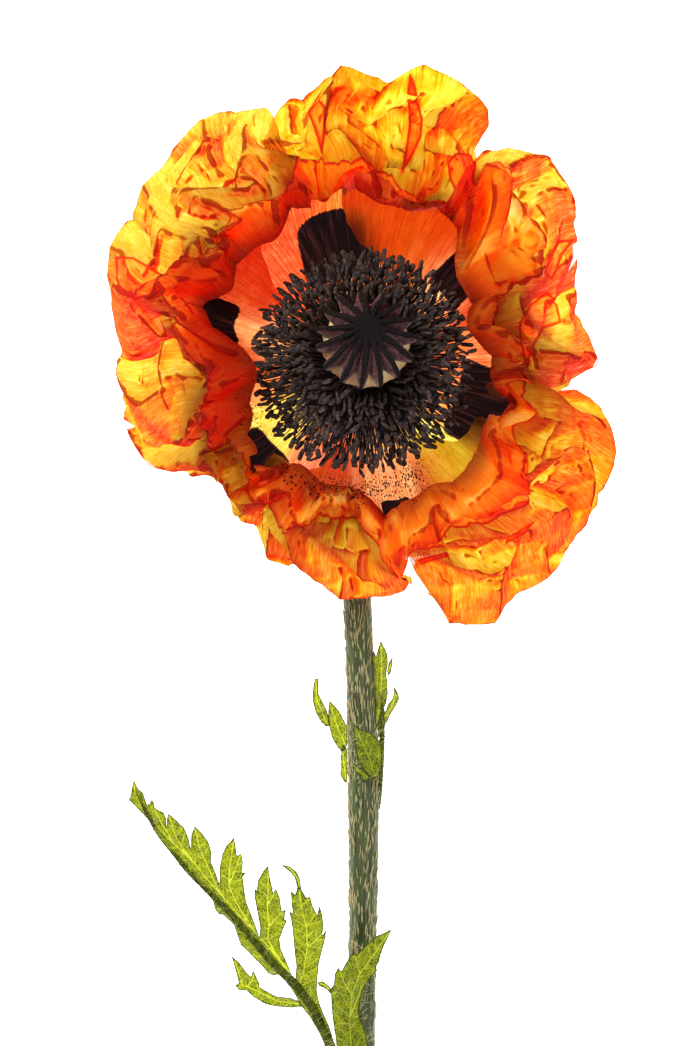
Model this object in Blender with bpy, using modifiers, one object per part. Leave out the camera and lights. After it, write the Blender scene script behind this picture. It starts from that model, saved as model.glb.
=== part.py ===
"""An oriental poppy, cut and lying on its back on a table, with its bloom turned up to +Z.

The stem lies along -Y and turns up in an elbow under the bloom. The script works in millimetres around
the flower's own axis, and mesh_object() writes metres and moves the origin to the middle of the footprint.
"""

import math
import random

import bmesh
import bpy
import numpy as np
from mathutils import Matrix, Vector

MM = 0.001  # one millimetre in metres
GAP = 0.35  # clearance between pieces that touch

# Stem and receptacle
STEM_END_Y = -190.0  # the cut end
STEM_RADIUS = 3.4
STEM_RADIUS_TOP = 3.2
STEM_NODE_SWELL = 0.4  # the stalk is thicker where the small leaf grows
STEM_NODE_PLACE = 0.48
STEM_FLATTENED = 0.25  # it lies on a slightly flattened side
STEM_LIES = 0.12  # share of the straight run that lies on the table
ELBOW_RADIUS = 16.5
ELBOW_Z = 24.0  # height of the centre of the elbow's arc
RECEPTACLE_RADIUS = 6.5
RECEPTACLE_TOP = 25.6
STEM_SIDES = 12

# Petals
PETAL_THICKNESS = 0.7
LAYER_OFFSET = 1.5  # each of the two layers lies this far from the shared middle surface
PETAL_ROOT_RADIUS = 7.0
PETAL_ROOT_Z = 23.6
CUP_FLOOR_Z = 23.0
CREST_Z = 45.5  # height of the ridge where the petals turn back
RUFFLE_IN = 1.6  # how far the pleats swing in and out
RUFFLE_HEIGHT = 5.0  # and up and down
CRUMPLE_HEIGHT = 1.3
TWIST = 2.2  # degrees by which the pleats lean over

# Capsule, stigma disc and stamens
CAPSULE_RADIUS = 9.8
CAPSULE_HEIGHT = 20.0
CAPSULE_TILT = math.radians(18)  # it leans towards +Y
CAPSULE_SEAT_Z = RECEPTACLE_TOP + GAP
DISC_RADIUS = 10.6
DISC_LOBE = 0.9
DISC_RAYS = 15
COLLAR_Z = 26.2
STAMEN_COUNT = 190
STAMEN_REACH = 26.5

LEAF_THICKNESS = 0.65

# Centre of the footprint, which becomes the origin
FOOTPRINT_CENTRE = Vector((-1.5, -58.25, 0.0))


# ---------------------------------------------------------------------------------------------------
# Scene and materials

def clear_scene():
    for obj in list(bpy.data.objects):
        bpy.data.objects.remove(obj, do_unlink=True)


def new_collection(name):
    collection = bpy.data.collections.new(name)
    bpy.context.scene.collection.children.link(collection)
    return collection


def material(name, colour, roughness):
    mat = bpy.data.materials.new(name)
    mat.use_nodes = True
    shader = mat.node_tree.nodes["Principled BSDF"]
    shader.inputs["Base Color"].default_value = (*colour, 1.0)
    shader.inputs["Roughness"].default_value = roughness
    shader.inputs["Metallic"].default_value = 0.0
    mat.diffuse_color = (*colour, 1.0)
    return mat


def mesh_object(name, verts, faces, mat, collection):
    """Make an object from millimetre vertices round the flower's axis."""
    mesh = bpy.data.meshes.new(name)
    mesh.from_pydata([(Vector(v) - FOOTPRINT_CENTRE) * MM for v in verts], [], faces)
    mesh.validate()
    obj = bpy.data.objects.new(name, mesh)
    obj.data.materials.append(mat)
    collection.objects.link(obj)
    return obj


def smooth(obj, angle=40):
    obj.data.shade_smooth()
    obj.data.set_sharp_from_angle(angle=math.radians(angle))


# ---------------------------------------------------------------------------------------------------
# Small maths

def smoothstep(x):
    x = np.clip(x, 0.0, 1.0)
    return x * x * (3.0 - 2.0 * x)


def triangle_wave(x):
    """A wave with straight flanks and slightly rounded folds."""
    return np.arcsin(0.97 * np.sin(x)) / math.asin(0.97)


def round_the_flower(points, degrees):
    """Read a closed curve given as (degrees, value) points at any angle, without overshoot."""
    angles = np.array([p[0] for p in points] + [points[0][0] + 360.0])
    values = np.array([p[1] for p in points] + [points[0][1]])
    degrees = (degrees - angles[0]) % 360.0 + angles[0]
    k = np.clip(np.searchsorted(angles, degrees, side="right") - 1, 0, len(points) - 1)
    share = smoothstep((degrees - angles[k]) / (angles[k + 1] - angles[k]))
    return values[k] + (values[k + 1] - values[k]) * share


def curve_through(knots, values, t):
    """A smooth curve through per-sample control values at the given knots (Catmull-Rom)."""
    knots = np.asarray(knots)
    values = np.array(np.broadcast_arrays(*values, t)[:-1])
    slopes = np.empty_like(values)
    slopes[1:-1] = (values[2:] - values[:-2]) / (knots[2:] - knots[:-2])[:, None]
    slopes[0] = (values[1] - values[0]) / (knots[1] - knots[0])
    slopes[-1] = (values[-1] - values[-2]) / (knots[-1] - knots[-2])
    k = np.clip(np.searchsorted(knots, t, side="right") - 1, 0, len(knots) - 2)
    i = np.arange(len(t))
    span = knots[k + 1] - knots[k]
    s = (t - knots[k]) / span
    h00 = 2 * s**3 - 3 * s**2 + 1
    h10 = s**3 - 2 * s**2 + s
    h01 = -2 * s**3 + 3 * s**2
    h11 = s**3 - s**2
    return (h00 * values[k, i] + h10 * span * slopes[k, i]
            + h01 * values[k + 1, i] + h11 * span * slopes[k + 1, i])


# ---------------------------------------------------------------------------------------------------
# Petals

# The bloom's outline: how far its edge lies from the axis, by angle
OUTLINE = [
    (0, 58), (12, 55), (22, 58), (38, 66), (50, 69), (59, 62), (66, 70), (80, 76), (87, 70), (96, 74),
    (104, 67), (115, 70), (130, 72), (150, 70), (162, 68), (172, 63), (190, 62), (203, 59), (216, 47),
    (224, 46), (232, 49), (238, 48), (243, 54), (250, 53), (262, 59), (275, 58), (283, 58), (290, 69),
    (300, 73), (306, 70), (330, 70), (345, 66), (354, 57),
]
# Where a petal that lies under or over its neighbour ends
INNER_EDGE = [
    (0, 41), (15, 46), (30, 56), (52, 57), (66, 47), (90, 50), (120, 50), (150, 51), (160, 54), (170, 46),
    (180, 41), (200, 41), (222, 44), (236, 41), (255, 42), (270, 46), (285, 51), (305, 50), (322, 49),
    (340, 43),
]
# The ridge where the petals turn back over themselves
FOLD_LINE = [
    (0, 31), (12, 28), (27, 28), (46, 36), (56, 40), (105, 40), (125, 38), (150, 38), (162, 41),
    (177, 28), (202, 29), (219, 36), (241, 30.5), (262, 32), (285, 37), (312, 36), (345, 34),
]
# Height of the outer edge above the table
EDGE_HEIGHT = [
    (0, 14), (20, 19), (45, 23), (75, 28), (100, 27), (130, 20), (155, 9), (178, 0.5), (198, 7), (215, 22),
    (245, 24), (270, 22), (290, 18), (310, 10), (330, 2.5), (345, 7),
]

# name, middle angle, layer (1 over, -1 under), angles between which its edge is the bloom's outline
PETALS = [
    ("petal_1", 103.0, -1, (59.0, 112.0)),
    ("petal_2", 42.0, 1, (-6.0, 59.0)),
    ("petal_3", 342.0, -1, (283.0, 354.0)),
    ("petal_4", 281.0, 1, (281.0, 281.0)),
    ("petal_5", 224.0, -1, (214.0, 283.0)),
    ("petal_6", 164.5, 1, (108.0, 226.0)),
]

# Places of the control points along the section, from root to edge
SECTION_KNOTS = [0.0, 0.10, 0.23, 0.35, 0.42, 0.48, 0.525, 0.57, 0.63, 0.72, 0.85, 1.0]
# Half the angle that a petal of each layer takes up at those places
LOWER_WIDTHS = [25.0, 36.0, 44.0, 52.0, 56.0, 58.3, 58.3, 58.3, 58.3, 58.3, 58.3, 58.3]
UPPER_WIDTHS = [18.0, 19.0, 23.0, 33.0, 44.0, 52.0, 56.0, 56.0, 56.0, 56.0, 56.0, 56.0]
# The rows and columns of facets
PETAL_ROWS = [0.0, 0.12, 0.24, 0.35, 0.42, 0.475, 0.525, 0.57, 0.63, 0.72, 0.81, 0.90, 1.0]
COLUMN_STEP = 4.5


def section(degrees, t):
    """Radius and height of the middle surface at a share t of the way from root to edge."""
    fold = round_the_flower(FOLD_LINE, degrees)
    edge = round_the_flower(OUTLINE, degrees)
    edge_z = round_the_flower(EDGE_HEIGHT, degrees)
    wall = np.maximum(fold + 4.5, 39.0)
    band = edge - fold - 9.0
    radii = [PETAL_ROOT_RADIUS, 16.0, 27.0, wall - 2.0, wall, 0.5 * (wall + fold) + 0.5, fold,
             fold + 2.8, fold + 9.0, fold + 9.0 + 0.3 * band, fold + 9.0 + 0.66 * band, edge]
    drop = CREST_Z - edge_z
    heights = [PETAL_ROOT_Z, CUP_FLOOR_Z, CUP_FLOOR_Z + 2.0, 30.5, 36.5, 40.0, CREST_Z - 2.6,
               CREST_Z + 0.4, CREST_Z, CREST_Z - 0.2 * drop, CREST_Z - 0.58 * drop, edge_z]
    ones = np.ones_like(t)
    radius = curve_through(SECTION_KNOTS, [r * ones for r in radii], t)
    height = curve_through(SECTION_KNOTS, [z * ones for z in heights], t)
    return radius, height


def layer_point(degrees, t, offset):
    """A point of the sheet that lies at an offset from the middle surface."""
    step = 0.004
    r0, z0 = section(degrees, np.maximum(t - step, 0.0))
    r1, z1 = section(degrees, np.minimum(t + step, 1.0))
    length = np.hypot(r1 - r0, z1 - z0)
    radius, height = section(degrees, t)
    return radius - offset * (z1 - z0) / length, height + offset * (r1 - r0) / length


def ruffle(degrees, radius, height):
    """Shear all sheets alike into pleats and dents, which keeps the layers apart."""
    a = np.radians(degrees)
    lift = smoothstep((height - 25.0) / 14.0)
    radius = radius + lift * (RUFFLE_IN * triangle_wave(13 * a + 1.2 * np.sin(3 * a) + 0.4)
                              + 0.5 * RUFFLE_IN * triangle_wave(22 * a + 0.2 * height + 1.1 * np.sin(5 * a)))
    out = smoothstep((radius - 32.0) / 24.0)
    pleats = (0.6 * triangle_wave(12 * a + 0.9 * np.sin(3 * a + 1.0))
              + 0.4 * triangle_wave(21 * a + 0.10 * radius + 1.3 * np.sin(4 * a + 2.0)))
    dents = (triangle_wave(0.40 * radius + 6 * a + 1.5 * np.sin(5 * a))
             + triangle_wave(0.30 * radius - 9 * a + 1.0 * np.sin(7 * a + 1.0)))
    height = height + out * (RUFFLE_HEIGHT * pleats + CRUMPLE_HEIGHT * dents)
    twist = TWIST * np.sin(0.23 * radius + 1.0) * out
    return degrees + twist, radius, height


def petal_reach(middle, owned, degrees):
    """How far the petal reaches at an angle, as a share t of the full section."""
    blend = 10.0  # degrees over which a petal's edge steps back under or over its neighbour
    nearest = (degrees - middle + 180.0) % 360.0 - 180.0 + middle
    first, last = owned
    inside = smoothstep((nearest - first) / blend + 0.5) * smoothstep((last - nearest) / blend + 0.5)
    reach = round_the_flower(INNER_EDGE, degrees)
    share = np.ones_like(degrees)
    for t in np.linspace(1.0, 0.6, 81):
        radius, _ = section(degrees, np.full_like(degrees, t))
        share = np.where(radius >= reach, t, share)
    return share + (1.0 - share) * inside


def petal_grid(middle, layer, owned, columns, rows):
    """Points of one petal's middle sheet.

    Rows and columns lie at the same places on all petals, so their facets run alongside each other.
    Past the petal's sides and edge they are drawn back onto them.
    """
    widths = UPPER_WIDTHS if layer > 0 else LOWER_WIDTHS
    t, degrees = np.meshgrid(rows, columns, indexing="ij")
    t, degrees = t.ravel(), degrees.ravel()
    half = np.interp(t, SECTION_KNOTS, widths)
    degrees = np.clip(degrees, middle - half, middle + half)
    side = np.abs(degrees - middle) / widths[-1]
    reach = petal_reach(middle, owned, degrees) * (1.0 - 0.05 * side**8)
    t = np.minimum(t, reach)
    radius, height = layer_point(degrees, t, layer * LAYER_OFFSET)
    degrees, radius, height = ruffle(degrees, radius, height)
    height = np.maximum(height, 0.5 * PETAL_THICKNESS)
    a = np.radians(degrees)
    points = np.stack([radius * np.cos(a), radius * np.sin(a), height], axis=1)
    return points.reshape(len(rows), len(columns), 3)


def make_petal(name, middle, layer, owned, mat, collection):
    first = math.floor((middle - LOWER_WIDTHS[-1]) / COLUMN_STEP)
    last = math.ceil((middle + LOWER_WIDTHS[-1]) / COLUMN_STEP)
    columns = [k * COLUMN_STEP for k in range(first, last + 1)]
    grid = petal_grid(middle, layer, owned, columns, PETAL_ROWS)
    verts = [tuple(p) for p in grid.reshape(-1, 3)]
    faces = []
    for i in range(len(PETAL_ROWS) - 1):
        for j in range(len(columns) - 1):
            a = i * len(columns) + j
            b, c, d = a + 1, a + len(columns) + 1, a + len(columns)
            if (i + first + j) % 2:
                faces += [(a, b, c), (a, c, d)]
            else:
                faces += [(a, b, d), (b, c, d)]
    petal = mesh_object(name, verts, faces, mat, collection)
    sheet = bmesh.new()
    sheet.from_mesh(petal.data)
    bmesh.ops.remove_doubles(sheet, verts=sheet.verts, dist=0.35 * MM)
    bmesh.ops.dissolve_degenerate(sheet, edges=sheet.edges, dist=0.05 * MM)
    bmesh.ops.triangulate(sheet, faces=sheet.faces)
    sheet.to_mesh(petal.data)
    sheet.free()
    thickness = petal.modifiers.new("thickness", "SOLIDIFY")
    thickness.thickness = PETAL_THICKNESS * MM
    thickness.offset = 0.0
    smooth(petal, 60)
    return petal


# ---------------------------------------------------------------------------------------------------
# Stem

def stem_sway(share):
    """Sideways place of the stalk's centre between the cut end (0) and the elbow (1)."""
    bend = smoothstep((share - 0.45) / 0.45)
    return -0.8 + 1.0 * math.sin(math.pi * share / 0.95) - 1.6 * float(bend)


def stem_path():
    """Centre line and radius from the cut end, along the table and up through the elbow."""
    elbow_bottom_z = ELBOW_Z - ELBOW_RADIUS
    stem_rest_z = STEM_RADIUS - STEM_FLATTENED
    points = []
    straight = 12
    for k in range(straight):
        share = k / straight
        y = STEM_END_Y + (-ELBOW_RADIUS - STEM_END_Y) * share
        x = stem_sway(share)
        rise = max(0.0, share - STEM_LIES) / (1.0 - STEM_LIES)
        z = stem_rest_z + (elbow_bottom_z - stem_rest_z) * rise
        radius = STEM_RADIUS + STEM_NODE_SWELL * math.exp(-((share - STEM_NODE_PLACE) / 0.12)**2)
        points.append((x, y, z, radius))
    bends = 7
    for k in range(bends):
        turn = 0.5 * math.pi * k / bends
        y = -ELBOW_RADIUS + ELBOW_RADIUS * math.sin(turn)
        z = ELBOW_Z - ELBOW_RADIUS * math.cos(turn)
        points.append((stem_sway(1.0) * (1.0 - k / bends), y, z, STEM_RADIUS_TOP))
    points.append((0.0, 0.0, 21.2, 5.0))
    points.append((0.0, 0.0, 22.6, RECEPTACLE_RADIUS))
    points.append((0.0, 0.0, RECEPTACLE_TOP, RECEPTACLE_RADIUS))
    return points


def tube(name, path, sides, mat, collection):
    """A tapering round tube with flat ends, as a mesh."""
    curve = bpy.data.curves.new(name, "CURVE")
    curve.dimensions = "3D"
    curve.bevel_depth = MM
    curve.bevel_resolution = sides // 2 - 2
    curve.use_fill_caps = True
    spline = curve.splines.new("POLY")
    spline.points.add(len(path) - 1)
    for point, (x, y, z, radius) in zip(spline.points, path):
        point.co = (*((Vector((x, y, z)) - FOOTPRINT_CENTRE) * MM), 1.0)
        point.radius = radius
        point.tilt = math.pi / sides  # turns a flat side down
    guide = bpy.data.objects.new(name + "_path", curve)
    collection.objects.link(guide)
    bpy.context.view_layer.update()
    evaluated = guide.evaluated_get(bpy.context.evaluated_depsgraph_get())
    mesh = bpy.data.meshes.new_from_object(evaluated)
    bpy.data.objects.remove(guide, do_unlink=True)
    welded = bmesh.new()
    welded.from_mesh(mesh)
    bmesh.ops.remove_doubles(welded, verts=welded.verts, dist=0.00001)
    bmesh.ops.recalc_face_normals(welded, faces=welded.faces)
    welded.to_mesh(mesh)
    welded.free()
    mesh.name = name
    mesh.materials.clear()
    obj = bpy.data.objects.new(name, mesh)
    obj.data.materials.append(mat)
    collection.objects.link(obj)
    return obj


def make_stem(mat, collection):
    stem = tube("stem", stem_path(), STEM_SIDES, mat, collection)
    for vert in stem.data.vertices:
        vert.co.z = max(vert.co.z, 0.0)  # the soft stalk flattens a little where it lies
    smooth(stem, 40)
    return stem


# ---------------------------------------------------------------------------------------------------
# Capsule and stigma disc, in a frame that leans with the capsule

def leaning_frame():
    turn = Matrix.Rotation(-CAPSULE_TILT, 4, "X")
    return Matrix.Translation((0.0, 0.0, CAPSULE_SEAT_Z)) @ turn


def turned(name, profile, sides, mat, collection):
    """A solid turned from a profile of (radius, height) points given top to bottom."""
    ring = profile[0] == profile[-1]
    verts = [(r, 0.0, h) for r, h in (profile[:-1] if ring else profile)]
    edges = [(k, k + 1) for k in range(len(verts) - 1)]
    if ring:
        edges.append((len(verts) - 1, 0))
    mesh = bpy.data.meshes.new(name)
    mesh.from_pydata([Vector(v) * MM for v in verts], edges, [])
    obj = bpy.data.objects.new(name, mesh)
    obj.data.materials.append(mat)
    collection.objects.link(obj)
    spin = obj.modifiers.new("turn", "SCREW")
    spin.steps = sides
    spin.render_steps = sides
    spin.use_merge_vertices = True
    spin.merge_threshold = 0.00001
    spin.use_smooth_shade = True
    return obj


def make_capsule(mat, collection):
    top = CAPSULE_HEIGHT
    wide = CAPSULE_RADIUS
    profile = [(0.0, top), (5.0, top - 1.2), (8.6, top - 2.6), (wide, top - 5.2), (wide, top - 8.0),
               (0.9 * wide, 9.0), (0.74 * wide, 6.2), (0.54 * wide, 3.8), (0.38 * wide, 2.0),
               (0.3 * wide, 0.9), (0.18 * wide, 0.25), (0.0, 0.0)]
    capsule = turned("capsule", profile, 24, mat, collection)
    frame = leaning_frame()
    frame.translation = (frame.translation - FOOTPRINT_CENTRE) * MM
    capsule.matrix_world = frame
    return capsule


def disc_point(share, ray_angle, top):
    """A point of the disc: share 0 at the middle and 1 at the rim, with a raised ray at each lobe."""
    ray = 0.5 + 0.5 * math.cos(DISC_RAYS * ray_angle)
    rim = DISC_RADIUS + DISC_LOBE * (2.0 * ray - 1.0)
    radius = share * rim
    cone = 1.0 - share
    if not top:
        return radius, CAPSULE_HEIGHT + GAP + 0.2 - 3.1 * share**1.15
    relief = 0.75 * ray * min(1.0, 3.0 * share) * (1.0 - 0.3 * share)
    return radius, CAPSULE_HEIGHT + 0.6 + 2.6 * cone**1.3 - 2.4 * share**2 + relief


def make_disc(mat, collection):
    segments = DISC_RAYS * 4
    shares = [0.22, 0.5, 0.8, 1.0]
    frame = leaning_frame()
    verts, faces = [], []

    def add(share, angle, top):
        radius, height = disc_point(share, angle, top)
        verts.append(frame @ Vector((radius * math.cos(angle), radius * math.sin(angle), height)))

    for top in (True, False):
        add(0.0, 0.0, top)
        for share in shares:
            for k in range(segments):
                add(share, 2.0 * math.pi * k / segments, top)
    side = 1 + len(shares) * segments
    for base, flip in ((0, False), (side, True)):
        for k in range(segments):
            n = (k + 1) % segments
            ring = [(base, base + 1 + k, base + 1 + n)]
            for j in range(len(shares) - 1):
                a = base + 1 + j * segments
                b = a + segments
                ring += [(a + k, b + k, b + n), (a + k, b + n, a + n)]
            faces += [f[::-1] for f in ring] if flip else ring
    rim = 1 + (len(shares) - 1) * segments
    for k in range(segments):
        n = (k + 1) % segments
        faces += [(rim + k, side + rim + k, side + rim + n), (rim + k, side + rim + n, rim + n)]
    disc = mesh_object("stigma_disc", verts, faces, mat, collection)
    smooth(disc, 50)
    return disc


# ---------------------------------------------------------------------------------------------------
# Stamens

def prism_along(stations, roll):
    """A closed three-sided prism through (centre, radius) stations."""
    verts, faces = [], []
    for k, (centre, radius) in enumerate(stations):
        before = Vector(stations[max(k - 1, 0)][0])
        after = Vector(stations[min(k + 1, len(stations) - 1)][0])
        along = (after - before).normalized()
        side = along.cross(Vector((0.3, 0.2, 1.0))).normalized()
        up = side.cross(along)
        for n in range(3):
            turn = roll + 2.0 * math.pi * n / 3.0
            verts.append(Vector(centre) + radius * (math.cos(turn) * side + math.sin(turn) * up))
    for k in range(len(stations) - 1):
        for n in range(3):
            a, b = 3 * k + n, 3 * k + (n + 1) % 3
            faces += [(a, a + 3, b), (b, a + 3, b + 3)]
    end = 3 * (len(stations) - 1)
    faces += [(0, 1, 2), (end, end + 2, end + 1)]
    return verts, faces


def stamen_tip(index, chance):
    """Place of an anther: a spiral fills the ring evenly, from the capsule outwards."""
    angle = index * math.pi * (3.0 - math.sqrt(5.0))
    share = (index + 0.5) / STAMEN_COUNT
    inner = 13.2 + 4.2 * math.sin(angle)
    radius = math.sqrt(inner**2 + share * (STAMEN_REACH**2 - inner**2)) + 0.6 * (chance.random() - 0.5)
    height = 37.5 - 0.30 * (radius - 10.0) + 1.6 * (chance.random() - 0.5)
    return angle, share, radius, height


def make_stamens(mat, collection):
    chance = random.Random(12)
    pile = new_collection("stamen_pieces")
    collar = [(7.4, 1.7), (9.0, 1.3), (9.9, 0.0), (5.4, 0.0), (5.6, 1.3), (7.4, 1.7)]
    ring = turned("collar", collar, 24, mat, collection)
    ring.location = (Vector((0.0, 0.0, COLLAR_Z)) - FOOTPRINT_CENTRE) * MM
    for k in range(STAMEN_COUNT):
        angle, share, radius, height = stamen_tip(k, chance)
        out = Vector((math.cos(angle), math.sin(angle), 0.0))
        root_radius = math.sqrt(6.2**2 + share * (9.0**2 - 6.2**2))
        root = root_radius * out + Vector((0.0, 0.0, COLLAR_Z + 0.5))
        tip = radius * out + Vector((0.0, 0.0, height))
        swing = Vector((-out.y, out.x, 0.0)) * (chance.random() - 0.5)
        tip += swing
        lean = (out * (0.35 + 0.6 * chance.random()) + 0.7 * swing
                + Vector((0.0, 0.0, 0.7 - 0.8 * chance.random()))).normalized()
        stations = [(root, 0.32), (tip - 1.6 * lean, 0.30), (tip - 1.0 * lean, 0.78),
                    (tip + 1.4 * lean, 0.62)]
        verts, faces = prism_along(stations, chance.random() * 2.0)
        mesh_object("stamen", verts, faces, mat, pile)
    union = ring.modifiers.new("union", "BOOLEAN")
    union.operation = "UNION"
    union.operand_type = "COLLECTION"
    union.collection = pile
    union.solver = "MANIFOLD"
    return applied("stamens", ring, pile, mat, collection)


def applied(name, obj, pile, mat, collection):
    """Apply an object's modifiers and remove it with the pieces that it was joined to."""
    bpy.context.view_layer.update()
    evaluated = obj.evaluated_get(bpy.context.evaluated_depsgraph_get())
    mesh = bpy.data.meshes.new_from_object(evaluated)
    mesh.transform(obj.matrix_world)
    mesh.name = name
    mesh.materials.clear()
    bpy.data.objects.remove(obj, do_unlink=True)
    for piece in list(pile.objects):
        bpy.data.objects.remove(piece, do_unlink=True)
    bpy.data.collections.remove(pile)
    joined = bpy.data.objects.new(name, mesh)
    joined.data.materials.append(mat)
    collection.objects.link(joined)
    return joined


# ---------------------------------------------------------------------------------------------------
# Leaves

def bezier(a, b, c, t):
    return (1 - t)**2 * a + 2 * t * (1 - t) * b + t**2 * c


def lobe_mesh(base, bend, tip, left, right, fold=0.12):
    """A thin cut lobe along a bent midrib, whose sides are (place, half width) lists of notches and teeth."""
    base, bend, tip = Vector(base), Vector(bend), Vector(tip)
    stations = sorted({s for s, _ in left} | {s for s, _ in right} | {0.0, 1.0})
    rows = []
    for s in stations:
        centre = bezier(base, bend, tip, s)
        ahead = bezier(base, bend, tip, min(s + 0.02, 1.0)) - bezier(base, bend, tip, max(s - 0.02, 0.0))
        side = Vector((-ahead.y, ahead.x, 0.0)).normalized()
        widths = []
        for edge in (left, right):
            places = [0.0] + [p for p, _ in edge] + [1.0]
            halves = [edge[0][1] * 0.55] + [w for _, w in edge] + [0.35]
            widths.append(float(np.interp(s, places, halves)))
        rise = Vector((0.0, 0.0, fold))
        rows.append((centre + side * widths[0] + rise * widths[0], centre,
                     centre - side * widths[1] + rise * widths[1]))
    verts, faces = [], []
    half = Vector((0.0, 0.0, 0.5 * LEAF_THICKNESS))
    for row in rows:
        verts += [p + half for p in row] + [p - half for p in row]
    for k in range(len(rows) - 1):
        a, b = 6 * k, 6 * (k + 1)
        for n in (0, 1):
            faces += [(a + n, b + n, b + n + 1), (a + n, b + n + 1, a + n + 1)]
            m = n + 3
            faces += [(a + m, b + m + 1, b + m), (a + m, a + m + 1, b + m + 1)]
        faces += [(a, a + 3, b + 3), (a, b + 3, b)]
        faces += [(a + 2, b + 2, b + 5), (a + 2, b + 5, a + 5)]
    end = 6 * (len(rows) - 1)
    faces += [(0, 1, 4), (0, 4, 3), (1, 2, 5), (1, 5, 4)]
    faces += [(end, end + 4, end + 1), (end, end + 3, end + 4)]
    faces += [(end + 1, end + 5, end + 2), (end + 1, end + 4, end + 5)]
    return verts, faces


def make_leaf(name, rachis, lobes, mat, collection):
    """A cut leaf: its rib as a tapering tube, joined with its lobes."""
    pile = new_collection(name + "_lobes")
    for lobe in lobes:
        verts, faces = lobe_mesh(*lobe)
        piece = mesh_object(name + "_lobe", verts, faces, mat, pile)
        fix = bmesh.new()
        fix.from_mesh(piece.data)
        bmesh.ops.recalc_face_normals(fix, faces=fix.faces)
        fix.to_mesh(piece.data)
        fix.free()
    rib = tube(name + "_rib", rachis, 6, mat, collection)
    union = rib.modifiers.new("union", "BOOLEAN")
    union.operation = "UNION"
    union.operand_type = "COLLECTION"
    union.collection = pile
    union.solver = "MANIFOLD"
    leaf = applied(name, rib, pile, mat, collection)
    smooth(leaf, 35)
    return leaf


# The large leaf's rib, from its sheath on the stem to its tip: x, y, z, radius
LOWER_RIB = [
    (-4.6, -184.0, 6.6, 1.3), (-6.0, -177.0, 6.0, 1.3), (-9.0, -169.3, 5.2, 1.25), (-12.5, -162.0, 4.6, 1.2),
    (-16.5, -156.3, 4.2, 1.1), (-23.0, -150.0, 3.8, 1.0), (-30.2, -141.5, 3.4, 0.9), (-37.3, -134.0, 3.2, 0.8),
    (-45.3, -125.8, 3.2, 0.65), (-54.0, -113.5, 3.6, 0.5), (-57.4, -106.0, 4.2, 0.4),
]
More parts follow.
